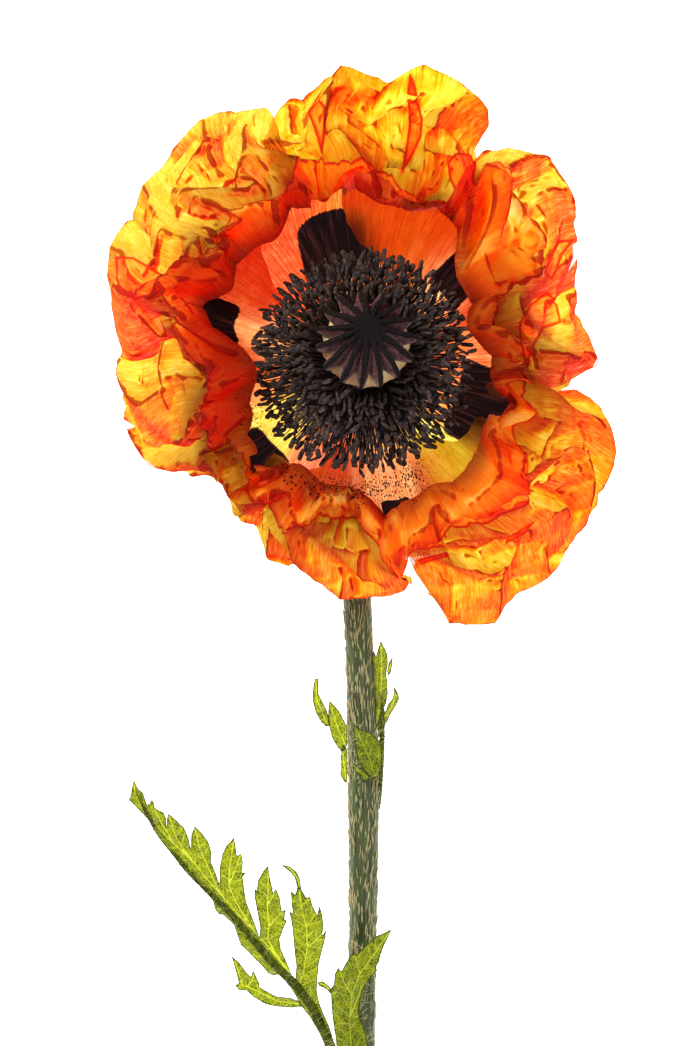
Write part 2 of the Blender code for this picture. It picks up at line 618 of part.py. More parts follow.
# Lobes of the large leaf: root, bend and tip of the midrib, then the left and right sides as
# (place along the midrib, half width) notches and teeth, seen from above towards the tip
LOWER_LOBES = [
    # the end lobe
    ((-55.5, -110.5, 3.7), (-58.0, -107.0, 4.4), (-57.9, -103.6, 5.0),
     [(0.25, 1.6), (0.45, 1.9), (0.75, 1.0)], [(0.3, 2.2), (0.6, 1.9), (0.85, 0.9)]),
    # five lobes that grow along the upper side of the rib
    ((-52.5, -117.0, 3.4), (-54.0, -111.5, 3.8), (-53.2, -108.6, 4.6), [(0.4, 1.4), (0.7, 0.9)],
     [(0.3, 2.4), (0.6, 2.2), (0.8, 1.4)]),
    ((-46.0, -124.0, 3.2), (-50.5, -117.5, 3.8), (-49.3, -112.0, 4.8), [(0.3, 3.0), (0.7, 1.6)],
     [(0.2, 2.4), (0.5, 3.2), (0.75, 2.6)]),
    ((-39.0, -131.5, 3.2), (-42.8, -124.0, 4.0), (-42.4, -115.2, 5.6), [(0.2, 3.4), (0.45, 2.2), (0.7, 2.0)],
     [(0.2, 2.6), (0.5, 3.4), (0.75, 2.8)]),
    ((-30.5, -140.0, 3.4), (-35.5, -131.0, 4.4), (-32.6, -118.2, 6.4),
     [(0.15, 3.0), (0.4, 2.4), (0.7, 3.0), (0.85, 1.9)],
     [(0.15, 3.6), (0.45, 2.8), (0.58, 3.4), (0.6, 1.9), (0.78, 2.4), (0.8, 1.4)]),
    ((-20.5, -150.5, 3.8), (-25.6, -140.0, 5.0), (-23.9, -125.0, 7.4),
     [(0.15, 1.8), (0.5, 2.7), (0.72, 3.2), (0.74, 1.9)],
     [(0.2, 2.4), (0.45, 4.2), (0.5, 3.2), (0.6, 4.0), (0.63, 2.4), (0.78, 2.6), (0.8, 1.3)]),
    # the long lobe nearest to the stem, with a curled point
    ((-12.0, -160.0, 4.6), (-16.0, -146.0, 7.5), (-15.6, -131.6, 10.5),
     [(0.15, 2.0), (0.45, 3.0), (0.68, 3.7), (0.70, 2.2), (0.88, 2.9), (0.9, 1.2)],
     [(0.12, 2.6), (0.35, 3.2), (0.55, 5.2), (0.58, 3.4), (0.78, 4.4), (0.82, 2.6), (0.92, 1.4)]),
    ((-15.8, -133.0, 10.3), (-15.6, -126.0, 12.0), (-20.2, -124.4, 11.2), [(0.4, 0.8)], [(0.4, 0.8)]),
    # the lobe that crosses over the stem
    ((-6.6, -175.5, 6.6), (-4.2, -158.0, 12.5), (7.0, -142.0, 11.5),
     [(0.15, 1.8), (0.34, 4.2), (0.37, 2.8), (0.52, 5.0), (0.55, 3.2), (0.74, 4.2), (0.78, 2.4)],
     [(0.12, 0.9), (0.3, 1.6), (0.5, 2.6), (0.6, 3.6), (0.63, 2.2), (0.80, 3.4), (0.83, 1.7)]),
    # folded lobes along the lower side
    ((-43.0, -128.5, 3.0), (-42.0, -131.5, 2.6), (-39.5, -133.6, 2.2), [(0.5, 0.7)], [(0.5, 1.3)]),
    ((-36.5, -135.5, 3.0), (-37.0, -138.5, 2.4), (-33.0, -141.6, 2.0), [(0.5, 0.8)], [(0.5, 1.5)]),
    ((-31.0, -141.5, 3.2), (-32.0, -145.5, 2.2), (-25.0, -152.0, 1.8), [(0.3, 1.0), (0.7, 0.9)],
     [(0.3, 1.4), (0.7, 1.0)]),
    # the stalked lobe on the lower side
    ((-15.0, -159.5, 4.0), (-22.0, -162.5, 2.6), (-31.0, -155.4, 1.7), [(0.4, 0.9), (0.8, 0.9)],
     [(0.3, 1.2), (0.7, 1.1)]),
    ((-30.0, -156.6, 1.9), (-32.0, -153.0, 2.2), (-33.1, -148.8, 2.8), [(0.3, 1.0), (0.6, 1.5)],
     [(0.3, 2.6), (0.5, 2.0), (0.7, 1.4)]),
    ((-28.5, -156.4, 1.9), (-28.8, -154.5, 2.2), (-28.0, -152.2, 2.6), [(0.4, 1.6)], [(0.4, 0.9)]),
]

# The small leaf's rib climbs past the stem's right side from under it: x, y, z, radius
UPPER_RIB = [
    (5.3, -112.0, 4.6, 0.8), (5.4, -107.0, 4.8, 0.85), (5.3, -101.0, 5.2, 0.8), (5.2, -92.0, 5.6, 0.6),
    (4.9, -82.0, 5.8, 0.4),
]
UPPER_LOBES = [
    # the tall lobe at the right
    ((5.0, -90.0, 5.4), (4.4, -80.0, 6.2), (4.7, -68.8, 6.6),
     [(0.2, 1.0), (0.6, 0.9), (0.85, 0.7)], [(0.2, 1.2), (0.6, 1.4), (0.8, 1.1)]),
    ((5.2, -84.0, 5.75), (7.0, -79.0, 6.0), (7.8, -72.8, 6.4), [(0.5, 0.7)], [(0.5, 0.6)]),
    ((5.0, -97.0, 5.0), (8.2, -90.5, 5.2), (7.9, -80.6, 6.0), [(0.3, 0.9), (0.7, 1.0)],
     [(0.3, 1.0), (0.7, 1.5), (0.85, 1.0)]),
    # the lobe folded over the front of the stem
    ((5.8, -104.5, 5.6), (7.0, -98.5, 13.4), (-2.2, -89.8, 10.9), [(0.4, 2.2), (0.6, 2.6), (0.8, 1.6)],
     [(0.3, 0.8), (0.5, 2.2), (0.8, 1.5)]),
]
# The rest of the small leaf passes under the stem and shows at its left side
UNDER_LOBES = [
    ((5.6, -108.0, 4.4), (6.2, -104.5, 0.6), (0.0, -101.5, 0.45), [(0.5, 1.0)], [(0.5, 1.0)]),
    ((1.0, -102.0, 0.45), (-6.0, -98.0, 0.5), (-8.6, -84.0, 3.0), [(0.3, 1.6), (0.5, 2.0), (0.8, 1.0)],
     [(0.2, 1.4), (0.5, 2.3), (0.56, 1.2), (0.8, 0.9)]),
    ((-4.6, -96.0, 0.9), (-12.5, -91.5, 1.8), (-11.6, -78.3, 4.0), [(0.4, 1.3), (0.7, 1.0)],
     [(0.4, 1.4), (0.7, 1.2)]),
    ((-0.8, -101.0, 0.45), (-4.6, -104.0, 0.6), (-6.4, -101.4, 1.3), [(0.5, 0.7)], [(0.5, 0.7)]),
]


# ---------------------------------------------------------------------------------------------------
# The whole flower

def build():
    clear_scene()
    flower = new_collection("poppy_flower")
    petal_mat = material("petal_orange", (0.93, 0.30, 0.04), 0.6)
    stem_mat = material("stem_green", (0.13, 0.19, 0.06), 0.7)
    leaf_mat = material("leaf_green", (0.28, 0.42, 0.03), 0.6)
    capsule_mat = material("capsule_cream", (0.83, 0.66, 0.28), 0.6)
    disc_mat = material("stigma_velvet", (0.05, 0.03, 0.035), 0.9)
    stamen_mat = material("stamen_black", (0.03, 0.022, 0.022), 0.8)
    make_stem(stem_mat, flower)
    for name, middle, layer, owned in PETALS:
        make_petal(name, middle, layer, owned, petal_mat, flower)
    make_capsule(capsule_mat, flower)
    make_disc(disc_mat, flower)
    make_stamens(stamen_mat, flower)
    make_leaf("leaf_lower", LOWER_RIB, LOWER_LOBES, leaf_mat, flower)
    make_leaf("leaf_upper", UPPER_RIB, UPPER_LOBES + UNDER_LOBES, leaf_mat, flower)


build()
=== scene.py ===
"""A cut oriental poppy lying on its back on a bright table, seen from above.

Sizes are in millimetres round the bloom's own axis; make_piece() turns them into metres in the model's frame.
"""

import math

import bpy
import numpy as np
from mathutils import Matrix, Vector
from mathutils.geometry import delaunay_2d_cdt


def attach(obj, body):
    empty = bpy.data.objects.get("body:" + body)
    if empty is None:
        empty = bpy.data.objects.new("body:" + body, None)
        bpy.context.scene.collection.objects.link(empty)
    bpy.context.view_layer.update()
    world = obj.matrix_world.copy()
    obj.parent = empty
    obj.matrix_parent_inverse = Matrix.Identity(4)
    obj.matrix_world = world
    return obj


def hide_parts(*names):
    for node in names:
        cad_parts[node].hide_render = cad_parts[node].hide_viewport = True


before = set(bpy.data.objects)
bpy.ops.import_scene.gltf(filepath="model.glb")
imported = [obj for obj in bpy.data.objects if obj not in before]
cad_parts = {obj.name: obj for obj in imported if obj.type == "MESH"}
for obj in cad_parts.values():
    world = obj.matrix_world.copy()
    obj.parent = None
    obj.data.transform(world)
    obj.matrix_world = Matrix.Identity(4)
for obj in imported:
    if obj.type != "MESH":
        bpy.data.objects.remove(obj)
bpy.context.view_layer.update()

# ---------------------------------------------------------------------------------------------------
# Stalk: a round, slightly ridged green stem that lies on the table and turns up in an elbow to the
# receptacle under the bloom. Short straw-coloured bristles lie along it, pointing to the flower.

BLOOM_AXIS = np.array((1.5, 58.25, 0.0))
CUT_END_Y = -190.0
STALK_RADIUS = 3.4
NECK_RADIUS = 3.2  # where it turns up under the bloom
RECEPTACLE_BULGE = 3.2  # the receptacle stands out this far round the neck
RECEPTACLE_TOP_Z = 25.6
NODE_SWELL = 0.4  # at the joint that the small leaf grows from
NODE_PLACE = 0.48  # share of the straight run
SUNK = 0.25  # the stalk is pressed this flat where it lies on the table
LIES_FLAT = 0.12  # share of the straight run that lies on the table before it rises
ELBOW_RADIUS = 16.5
ELBOW_Z = 24.0
STALK_STATIONS = 320
STALK_SIDES = 42
STALK_FLUTES = 13
BRISTLE_COUNT = 1900


def smoothstep(x):
    x = np.clip(x, 0.0, 1.0)
    return x * x * (3.0 - 2.0 * x)


def unit(v):
    return v / np.maximum(np.linalg.norm(v, axis=-1, keepdims=True), 1e-9)


def travel_along(line):
    """Distance travelled at each point of a line."""
    return np.concatenate([[0.0], np.cumsum(np.linalg.norm(np.diff(line, axis=0), axis=1))])


def make_piece(name, points, faces, finish, node, slot, sharp=60.0, **layers):
    """A smooth mesh from millimetre points, with named per-point layers for its finish."""
    mesh = bpy.data.meshes.new(name)
    mesh.from_pydata(((np.asarray(points) + BLOOM_AXIS) * 0.001).tolist(), [], faces)
    mesh.shade_smooth()
    mesh.set_sharp_from_angle(angle=math.radians(sharp))
    for layer, values in layers.items():
        values = np.asarray(values, np.float32)
        if values.ndim == 1:
            mesh.attributes.new(layer, "FLOAT", "POINT").data.foreach_set("value", values)
        else:
            mesh.attributes.new(layer, "FLOAT_VECTOR", "POINT").data.foreach_set("vector", values.ravel())
    mesh.materials.append(finish)
    piece = bpy.data.objects.new(name, mesh)
    bpy.context.scene.collection.objects.link(piece)
    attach(piece, "root")
    if node:
        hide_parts(node)
    return piece


def ring_faces(rings, sides, first=0):
    """Quads between rings of points, closed round each ring."""
    i, j = np.meshgrid(np.arange(rings - 1), np.arange(sides), indexing="ij")
    n = (j + 1) % sides
    quads = np.stack([i * sides + j, (i + 1) * sides + j, (i + 1) * sides + n, i * sides + n], axis=-1)
    return (quads.reshape(-1, 4) + first).tolist()


def end_faces(rings, sides, first=0):
    """The two faces that close the ends of a tube of rings."""
    last = first + rings * sides - 1
    return [list(range(first, first + sides)), list(range(last, last - sides, -1))]


def tapered_spikes(roots, along, curl, lengths, radii):
    """Many three-sided spikes: straight at the root and curling towards their points."""
    shares = [0.0, 0.35, 0.7]
    side = unit(np.cross(along, unit(curl + np.array((0.31, 0.17, 0.23)))))
    across = np.cross(along, side)
    points = []
    for s in shares:
        centre = roots + lengths[:, None] * (along * s + curl * s * s)
        for k in range(3):
            turn = 2.0 * math.pi * k / 3.0
            ring = math.cos(turn) * side + math.sin(turn) * across
            points.append(centre + (radii * (1.0 - 0.45 * s))[:, None] * ring)
    points.append(roots + lengths[:, None] * (along + curl))
    per_spike = len(points)
    pattern = []
    for s in (0, 3):
        for k in range(3):
            n = (k + 1) % 3
            pattern += [(s + k, s + n, s + 3 + n), (s + k, s + 3 + n, s + 3 + k)]
    pattern += [(6, 7, 9), (7, 8, 9), (8, 6, 9)]
    faces = (np.array(pattern)[None] + per_spike * np.arange(len(roots))[:, None, None]).reshape(-1, 3)
    share = np.tile(np.repeat(shares + [1.0], [3, 3, 3, 1]), len(roots))
    return np.stack(points, axis=1).reshape(-1, 3), faces.tolist(), share


class Nodes:
    """Builds a finish node by node; a socket or a plain value can be given for each input."""

    def __init__(self, name):
        self.finish = bpy.data.materials.new(name)
        self.finish.use_nodes = True
        self.tree = self.finish.node_tree
        self.tree.nodes.clear()

    def add(self, kind, inputs=(), **settings):
        made = self.tree.nodes.new("ShaderNode" + kind)
        for key, value in settings.items():
            setattr(made, key, value)
        for key, value in dict(inputs).items():
            if isinstance(value, bpy.types.NodeSocket):
                self.tree.links.new(value, made.inputs[key])
            else:
                made.inputs[key].default_value = value
        return made

    def layer(self, name):
        return self.add("Attribute", attribute_name=name)

    def math(self, operation, a, b=0.0):
        return self.add("Math", {0: a, 1: b}, operation=operation).outputs[0]

    def spread(self, value, low, high, to_low=0.0, to_high=1.0):
        """Carry a value from one range to another, eased and clamped."""
        return self.add("MapRange", {0: value, 1: low, 2: high, 3: to_low, 4: to_high},
                        interpolation_type="SMOOTHSTEP").outputs[0]

    def blend(self, share, first, second, how="MIX"):
        return self.add("MixRGB", {"Fac": share, "Color1": first, "Color2": second},
                        blend_type=how).outputs[0]

    def stretched(self, place, scale):
        return self.add("Mapping", {"Vector": place, "Scale": scale}).outputs[0]

    def noise(self, place, scale, detail=3.0, rough=0.55):
        return self.add("TexNoise", {"Vector": place, "Scale": scale, "Detail": detail,
                                     "Roughness": rough}).outputs["Fac"]

    def bump(self, height, strength, distance):
        return self.add("Bump", {"Height": height, "Strength": strength, "Distance": distance}).outputs[0]

    def surface(self, shader):
        self.add("OutputMaterial", {"Surface": shader})
        return self.finish


def stalk_centre(share):
    """Centre line of the straight run, from the cut end (0) to the elbow (1)."""
    rise = np.maximum(0.0, share - LIES_FLAT) / (1.0 - LIES_FLAT)
    x = -0.8 + np.sin(np.pi * share / 0.95) - 1.6 * smoothstep((share - 0.45) / 0.45)
    y = CUT_END_Y + (-ELBOW_RADIUS - CUT_END_Y) * share
    z = STALK_RADIUS - SUNK + (ELBOW_Z - ELBOW_RADIUS - STALK_RADIUS + SUNK) * rise
    return np.stack([x, y, z], axis=-1)


def stalk_line():
    """Centre line and radius of the whole stalk with its receptacle."""
    straight = np.linspace(0.0, 1.0, 400)
    line = stalk_centre(straight)
    radius = STALK_RADIUS + NODE_SWELL * np.exp(-((straight - NODE_PLACE) / 0.12)**2)
    radius = radius + (NECK_RADIUS - radius) * smoothstep((straight - 0.85) / 0.15)
    turn = np.linspace(0.0, 0.5 * math.pi, 60)[1:]
    elbow = np.stack([line[-1, 0] * (1.0 - turn / turn[-1]), -ELBOW_RADIUS + ELBOW_RADIUS * np.sin(turn),
                      ELBOW_Z - ELBOW_RADIUS * np.cos(turn)], axis=-1)
    top = np.linspace(ELBOW_Z, RECEPTACLE_TOP_Z, 12)[1:]
    neck = np.stack([0.0 * top, 0.0 * top, top], axis=-1)
    line = np.concatenate([line, elbow, neck])
    bulge = smoothstep((line[:, 2] - 18.5) / 4.0)
    radius = np.concatenate([radius, np.full(len(line) - len(radius), NECK_RADIUS)])
    return line, radius + bulge * RECEPTACLE_BULGE


def stalk_finish():
    n = Nodes("stalk_skin")
    place = n.layer("grain").outputs["Vector"]
    ridges = n.noise(n.stretched(place, (1.9, 0.05, 1.0)), 1.0, 4.0, 0.6)
    mottle = n.noise(n.stretched(place, (0.5, 0.18, 1.0)), 1.0, 5.0)
    cells = n.noise(n.stretched(place, (5.0, 1.2, 1.0)), 1.0, 3.0)
    green = n.blend(n.spread(ridges, 0.36, 0.64), (0.028, 0.048, 0.012, 1), (0.110, 0.150, 0.045, 1))
    green = n.blend(n.spread(mottle, 0.45, 0.75), green, (0.085, 0.080, 0.036, 1))
    green = n.blend(n.spread(cells, 0.55, 0.78, 0.0, 0.4), green, (0.22, 0.26, 0.10, 1))
    lift = n.math("ADD", ridges, n.math("MULTIPLY", cells, 0.4))
    skin = n.add("BsdfPrincipled", {"Base Color": green, "Roughness": 0.5, "Specular IOR Level": 0.35,
                                    "Normal": n.bump(lift, 0.6, 0.0003)})
    return n.surface(skin.outputs[0])


def bristle_finish():
    n = Nodes("bristle_straw")
    along = n.layer("along").outputs["Fac"]
    place = n.add("TexCoord").outputs["Object"]
    shade = n.noise(place, 420.0, 2.0)
    straw = n.blend(n.spread(along, 0.0, 0.45), (0.34, 0.29, 0.12, 1), (0.76, 0.69, 0.38, 1))
    straw = n.blend(n.spread(shade, 0.35, 0.65, 0.0, 0.6), straw, (0.50, 0.43, 0.20, 1))
    skin = n.add("BsdfPrincipled", {"Base Color": straw, "Roughness": 0.35})
    glow = n.add("BsdfTranslucent", {"Color": straw})
    return n.surface(n.add("MixShader", {0: 0.3, 1: skin.outputs[0], 2: glow.outputs[0]}).outputs[0])


line, stalk_radius = stalk_line()
travel = travel_along(line)
even = np.linspace(0.0, travel[-1], STALK_STATIONS)
line = np.stack([np.interp(even, travel, line[:, k]) for k in range(3)], axis=-1)
stalk_radius = np.interp(even, travel, stalk_radius)
stalk_ahead = unit(np.gradient(line, axis=0))
stalk_side = unit(np.array((1.0, 0.0, 0.0)) - stalk_ahead[:, :1] * stalk_ahead)
stalk_up = np.cross(stalk_side, stalk_ahead)
turn = 2.0 * math.pi * np.arange(STALK_SIDES) / STALK_SIDES
flutes = 1.0 + 0.018 * np.cos(STALK_FLUTES * turn[None] + 0.012 * even[:, None]) \
    + 0.010 * np.sin(5 * turn[None] + 0.05 * even[:, None])
skin_points = line[:, None] + (stalk_radius[:, None] * flutes)[..., None] * (
    np.cos(turn)[None, :, None] * stalk_side[:, None] + np.sin(turn)[None, :, None] * stalk_up[:, None])
skin_points[..., 2] = np.maximum(skin_points[..., 2], 0.0)
stalk_faces = ring_faces(STALK_STATIONS, STALK_SIDES) + end_faces(STALK_STATIONS, STALK_SIDES)
stalk_grain = np.stack(np.broadcast_arrays(turn[None] * STALK_RADIUS, even[:, None], 0.0), axis=-1)
make_piece("stalk", skin_points.reshape(-1, 3), stalk_faces, stalk_finish(), "stem", "stem_green",
           grain=stalk_grain.reshape(-1, 3))

chance = np.random.default_rng(31)
place = chance.uniform(0.004, 0.90, BRISTLE_COUNT) * even[-1]
round_at = chance.uniform(-0.42 * math.pi, 1.42 * math.pi, BRISTLE_COUNT)
centre = np.stack([np.interp(place, even, line[:, k]) for k in range(3)], axis=-1)
ahead = unit(np.stack([np.interp(place, even, stalk_ahead[:, k]) for k in range(3)], axis=-1))
side = unit(np.array((1.0, 0.0, 0.0)) - ahead[:, :1] * ahead)
out = np.cos(round_at)[:, None] * side + np.sin(round_at)[:, None] * np.cross(side, ahead)
reach = np.interp(place, even, stalk_radius)
stand = chance.uniform(0.10, 0.36, BRISTLE_COUNT)
lengths = chance.uniform(1.8, 3.6, BRISTLE_COUNT)
tangent = np.cross(out, ahead)
along = unit(ahead + stand[:, None] * out + chance.normal(0.0, 0.10, BRISTLE_COUNT)[:, None] * tangent)
points, faces, share = tapered_spikes(centre + 0.97 * reach[:, None] * out, along,
                                      -0.5 * stand[:, None] * out, lengths,
                                      chance.uniform(0.14, 0.25, BRISTLE_COUNT))
points[:, 2] = np.maximum(points[:, 2], 0.02)
straw = bristle_finish()
make_piece("stalk_bristles", points, faces, straw, None, "stem_green", along=share)

# ---------------------------------------------------------------------------------------------------
# Petals: six thin, crushed sheets of tissue in two whorls, three over three. Each grows from the
# receptacle, lines the cup, rises as its wall, and turns back over a ridge into a wide crumpled band.

SHEET_STEP = 0.48  # spacing of a petal's points
SHEET_OFFSET = 1.4  # each whorl lies this far from the shared middle surface in the cup
CLOSE_OFFSET = 0.32  # and this far in the outer band, where the sheets cling together
ROOT_RADIUS = 7.0
ROOT_Z = 23.6
CUP_FLOOR_Z = 23.0
RIDGE_Z = 45.5
RIDGE_WIDE = 9.0  # the top of the ridge, from where the petal turns back to where it starts to fall
FALL_CURVE = 1.3  # how late the band falls away
BAND_FROM = 0.50  # share of the section where the cup's wall ends and the band starts
ARC_RADIUS = 50.0  # turns angles into lengths round the bloom
PETAL_REACH = 62.0  # no petal spans more than this many degrees to a side
OWN_EASE = 10.0  # degrees over which a free margin becomes the bloom's outline
PLEAT_IN = 1.6  # depth of the pleats in the cup's wall
PLEAT_HEIGHT = 2.4  # and of those in the band
DENT_HEIGHT = 0.4
TWIST = 2.2  # degrees that the band sways to either side
LEAN = 0.5  # how far the pleats lean over, sideways per height
DOUBLED_WIDE = 1.7  # half width of the strip that is folded back along the inner ring's margin
DOUBLED_STEP = 1.8
GATHER_FROM = 0.46  # share of the section beyond which the tissue is crumpled
# turns and rows of the crumpled sheet, steps, stiffness, sharpest bend in mm, and hold on its place
GATHERS = [
    (200, 34, 600, 0.32, 0.36, 0.004),
    (400, 68, 700, 0.48, 0.07, 0.0015),
    (800, 132, 260, 0.48, 0.02, 0.001),
]
SPARE_ROUND = (0.05, 0.22)  # spare tissue round the bloom, least and extra
SPARE_OUT = (0.02, 0.17)  # and outwards
THROUGH = np.array((1.0, 0.36, 0.008))  # colour of light through one layer

# The bloom's outline: how far its edge lies from the axis, by angle
OUTLINE = [
    (0, 58), (12, 55), (22, 58), (38, 66), (50, 69), (59, 62), (66, 70), (80, 76), (87, 70), (96, 74),
    (104, 67), (115, 70), (130, 72), (150, 70), (162, 68), (172, 63), (190, 62), (203, 59), (216, 47),
    (224, 46), (232, 49), (238, 48), (243, 54), (250, 53), (262, 59), (275, 58), (283, 58), (290, 69),
    (300, 73), (306, 70), (330, 70), (345, 66), (354, 57),
]
# The ridge where the petals turn back over themselves
FOLD_LINE = [
    (0, 31), (12, 28), (27, 28), (46, 34), (56, 39), (105, 40), (125, 38), (150, 38), (162, 41),
    (177, 28), (202, 29), (219, 36), (241, 30.5), (262, 32), (285, 37), (312, 36), (345, 34),
]
# How far the sheet is doubled back along the inner ring's margin
DOUBLED = [(0, 0.8), (50, 0.9), (58, 0.0), (108, 0.0), (118, 1.0), (214, 0.9), (224, 0.0), (352, 0.0)]
# Height of the outer edge above the table
EDGE_HEIGHT = [
    (0, 14), (20, 19), (45, 23), (75, 28), (100, 27), (130, 20), (155, 9), (178, 0.5), (198, 7), (215, 22),
    (245, 24), (270, 22), (290, 18), (310, 10), (330, 2.5), (345, 7),
]
# How much deeper than one layer the cup is coloured, by angle
CUP_DEPTH = [
    (0, 1.1), (25, 1.2), (60, 1.0), (96, 1.0), (114, 1.6), (136, 1.6), (150, 1.2), (178, 1.1), (196, 0.9),
    (206, 0.1), (226, 0.1), (234, 0.9), (262, 1.2), (296, 1.1), (304, 0.05), (320, 0.0), (326, 0.6),
]
# How much deeper the outer band is coloured, by angle
BAND_DEPTH = [(0, 0.3), (60, 0.1), (150, 0.15), (165, 0.5), (200, 0.5), (215, 0.1), (330, 0.05)]

# The creases, margin, folds and dried bits below are laid out flat, as the camera sees them from above the
# stalk: true to size at one height over the table. `settled` brings them down onto the tissue.
EYE = (-3.25, -39.0)
EYE_HEIGHT = 720.0
TRUE_SIZE_HEIGHT = 12.0
DEEPEST_PRESS = 2.6  # creases that cross press the tissue no deeper than this
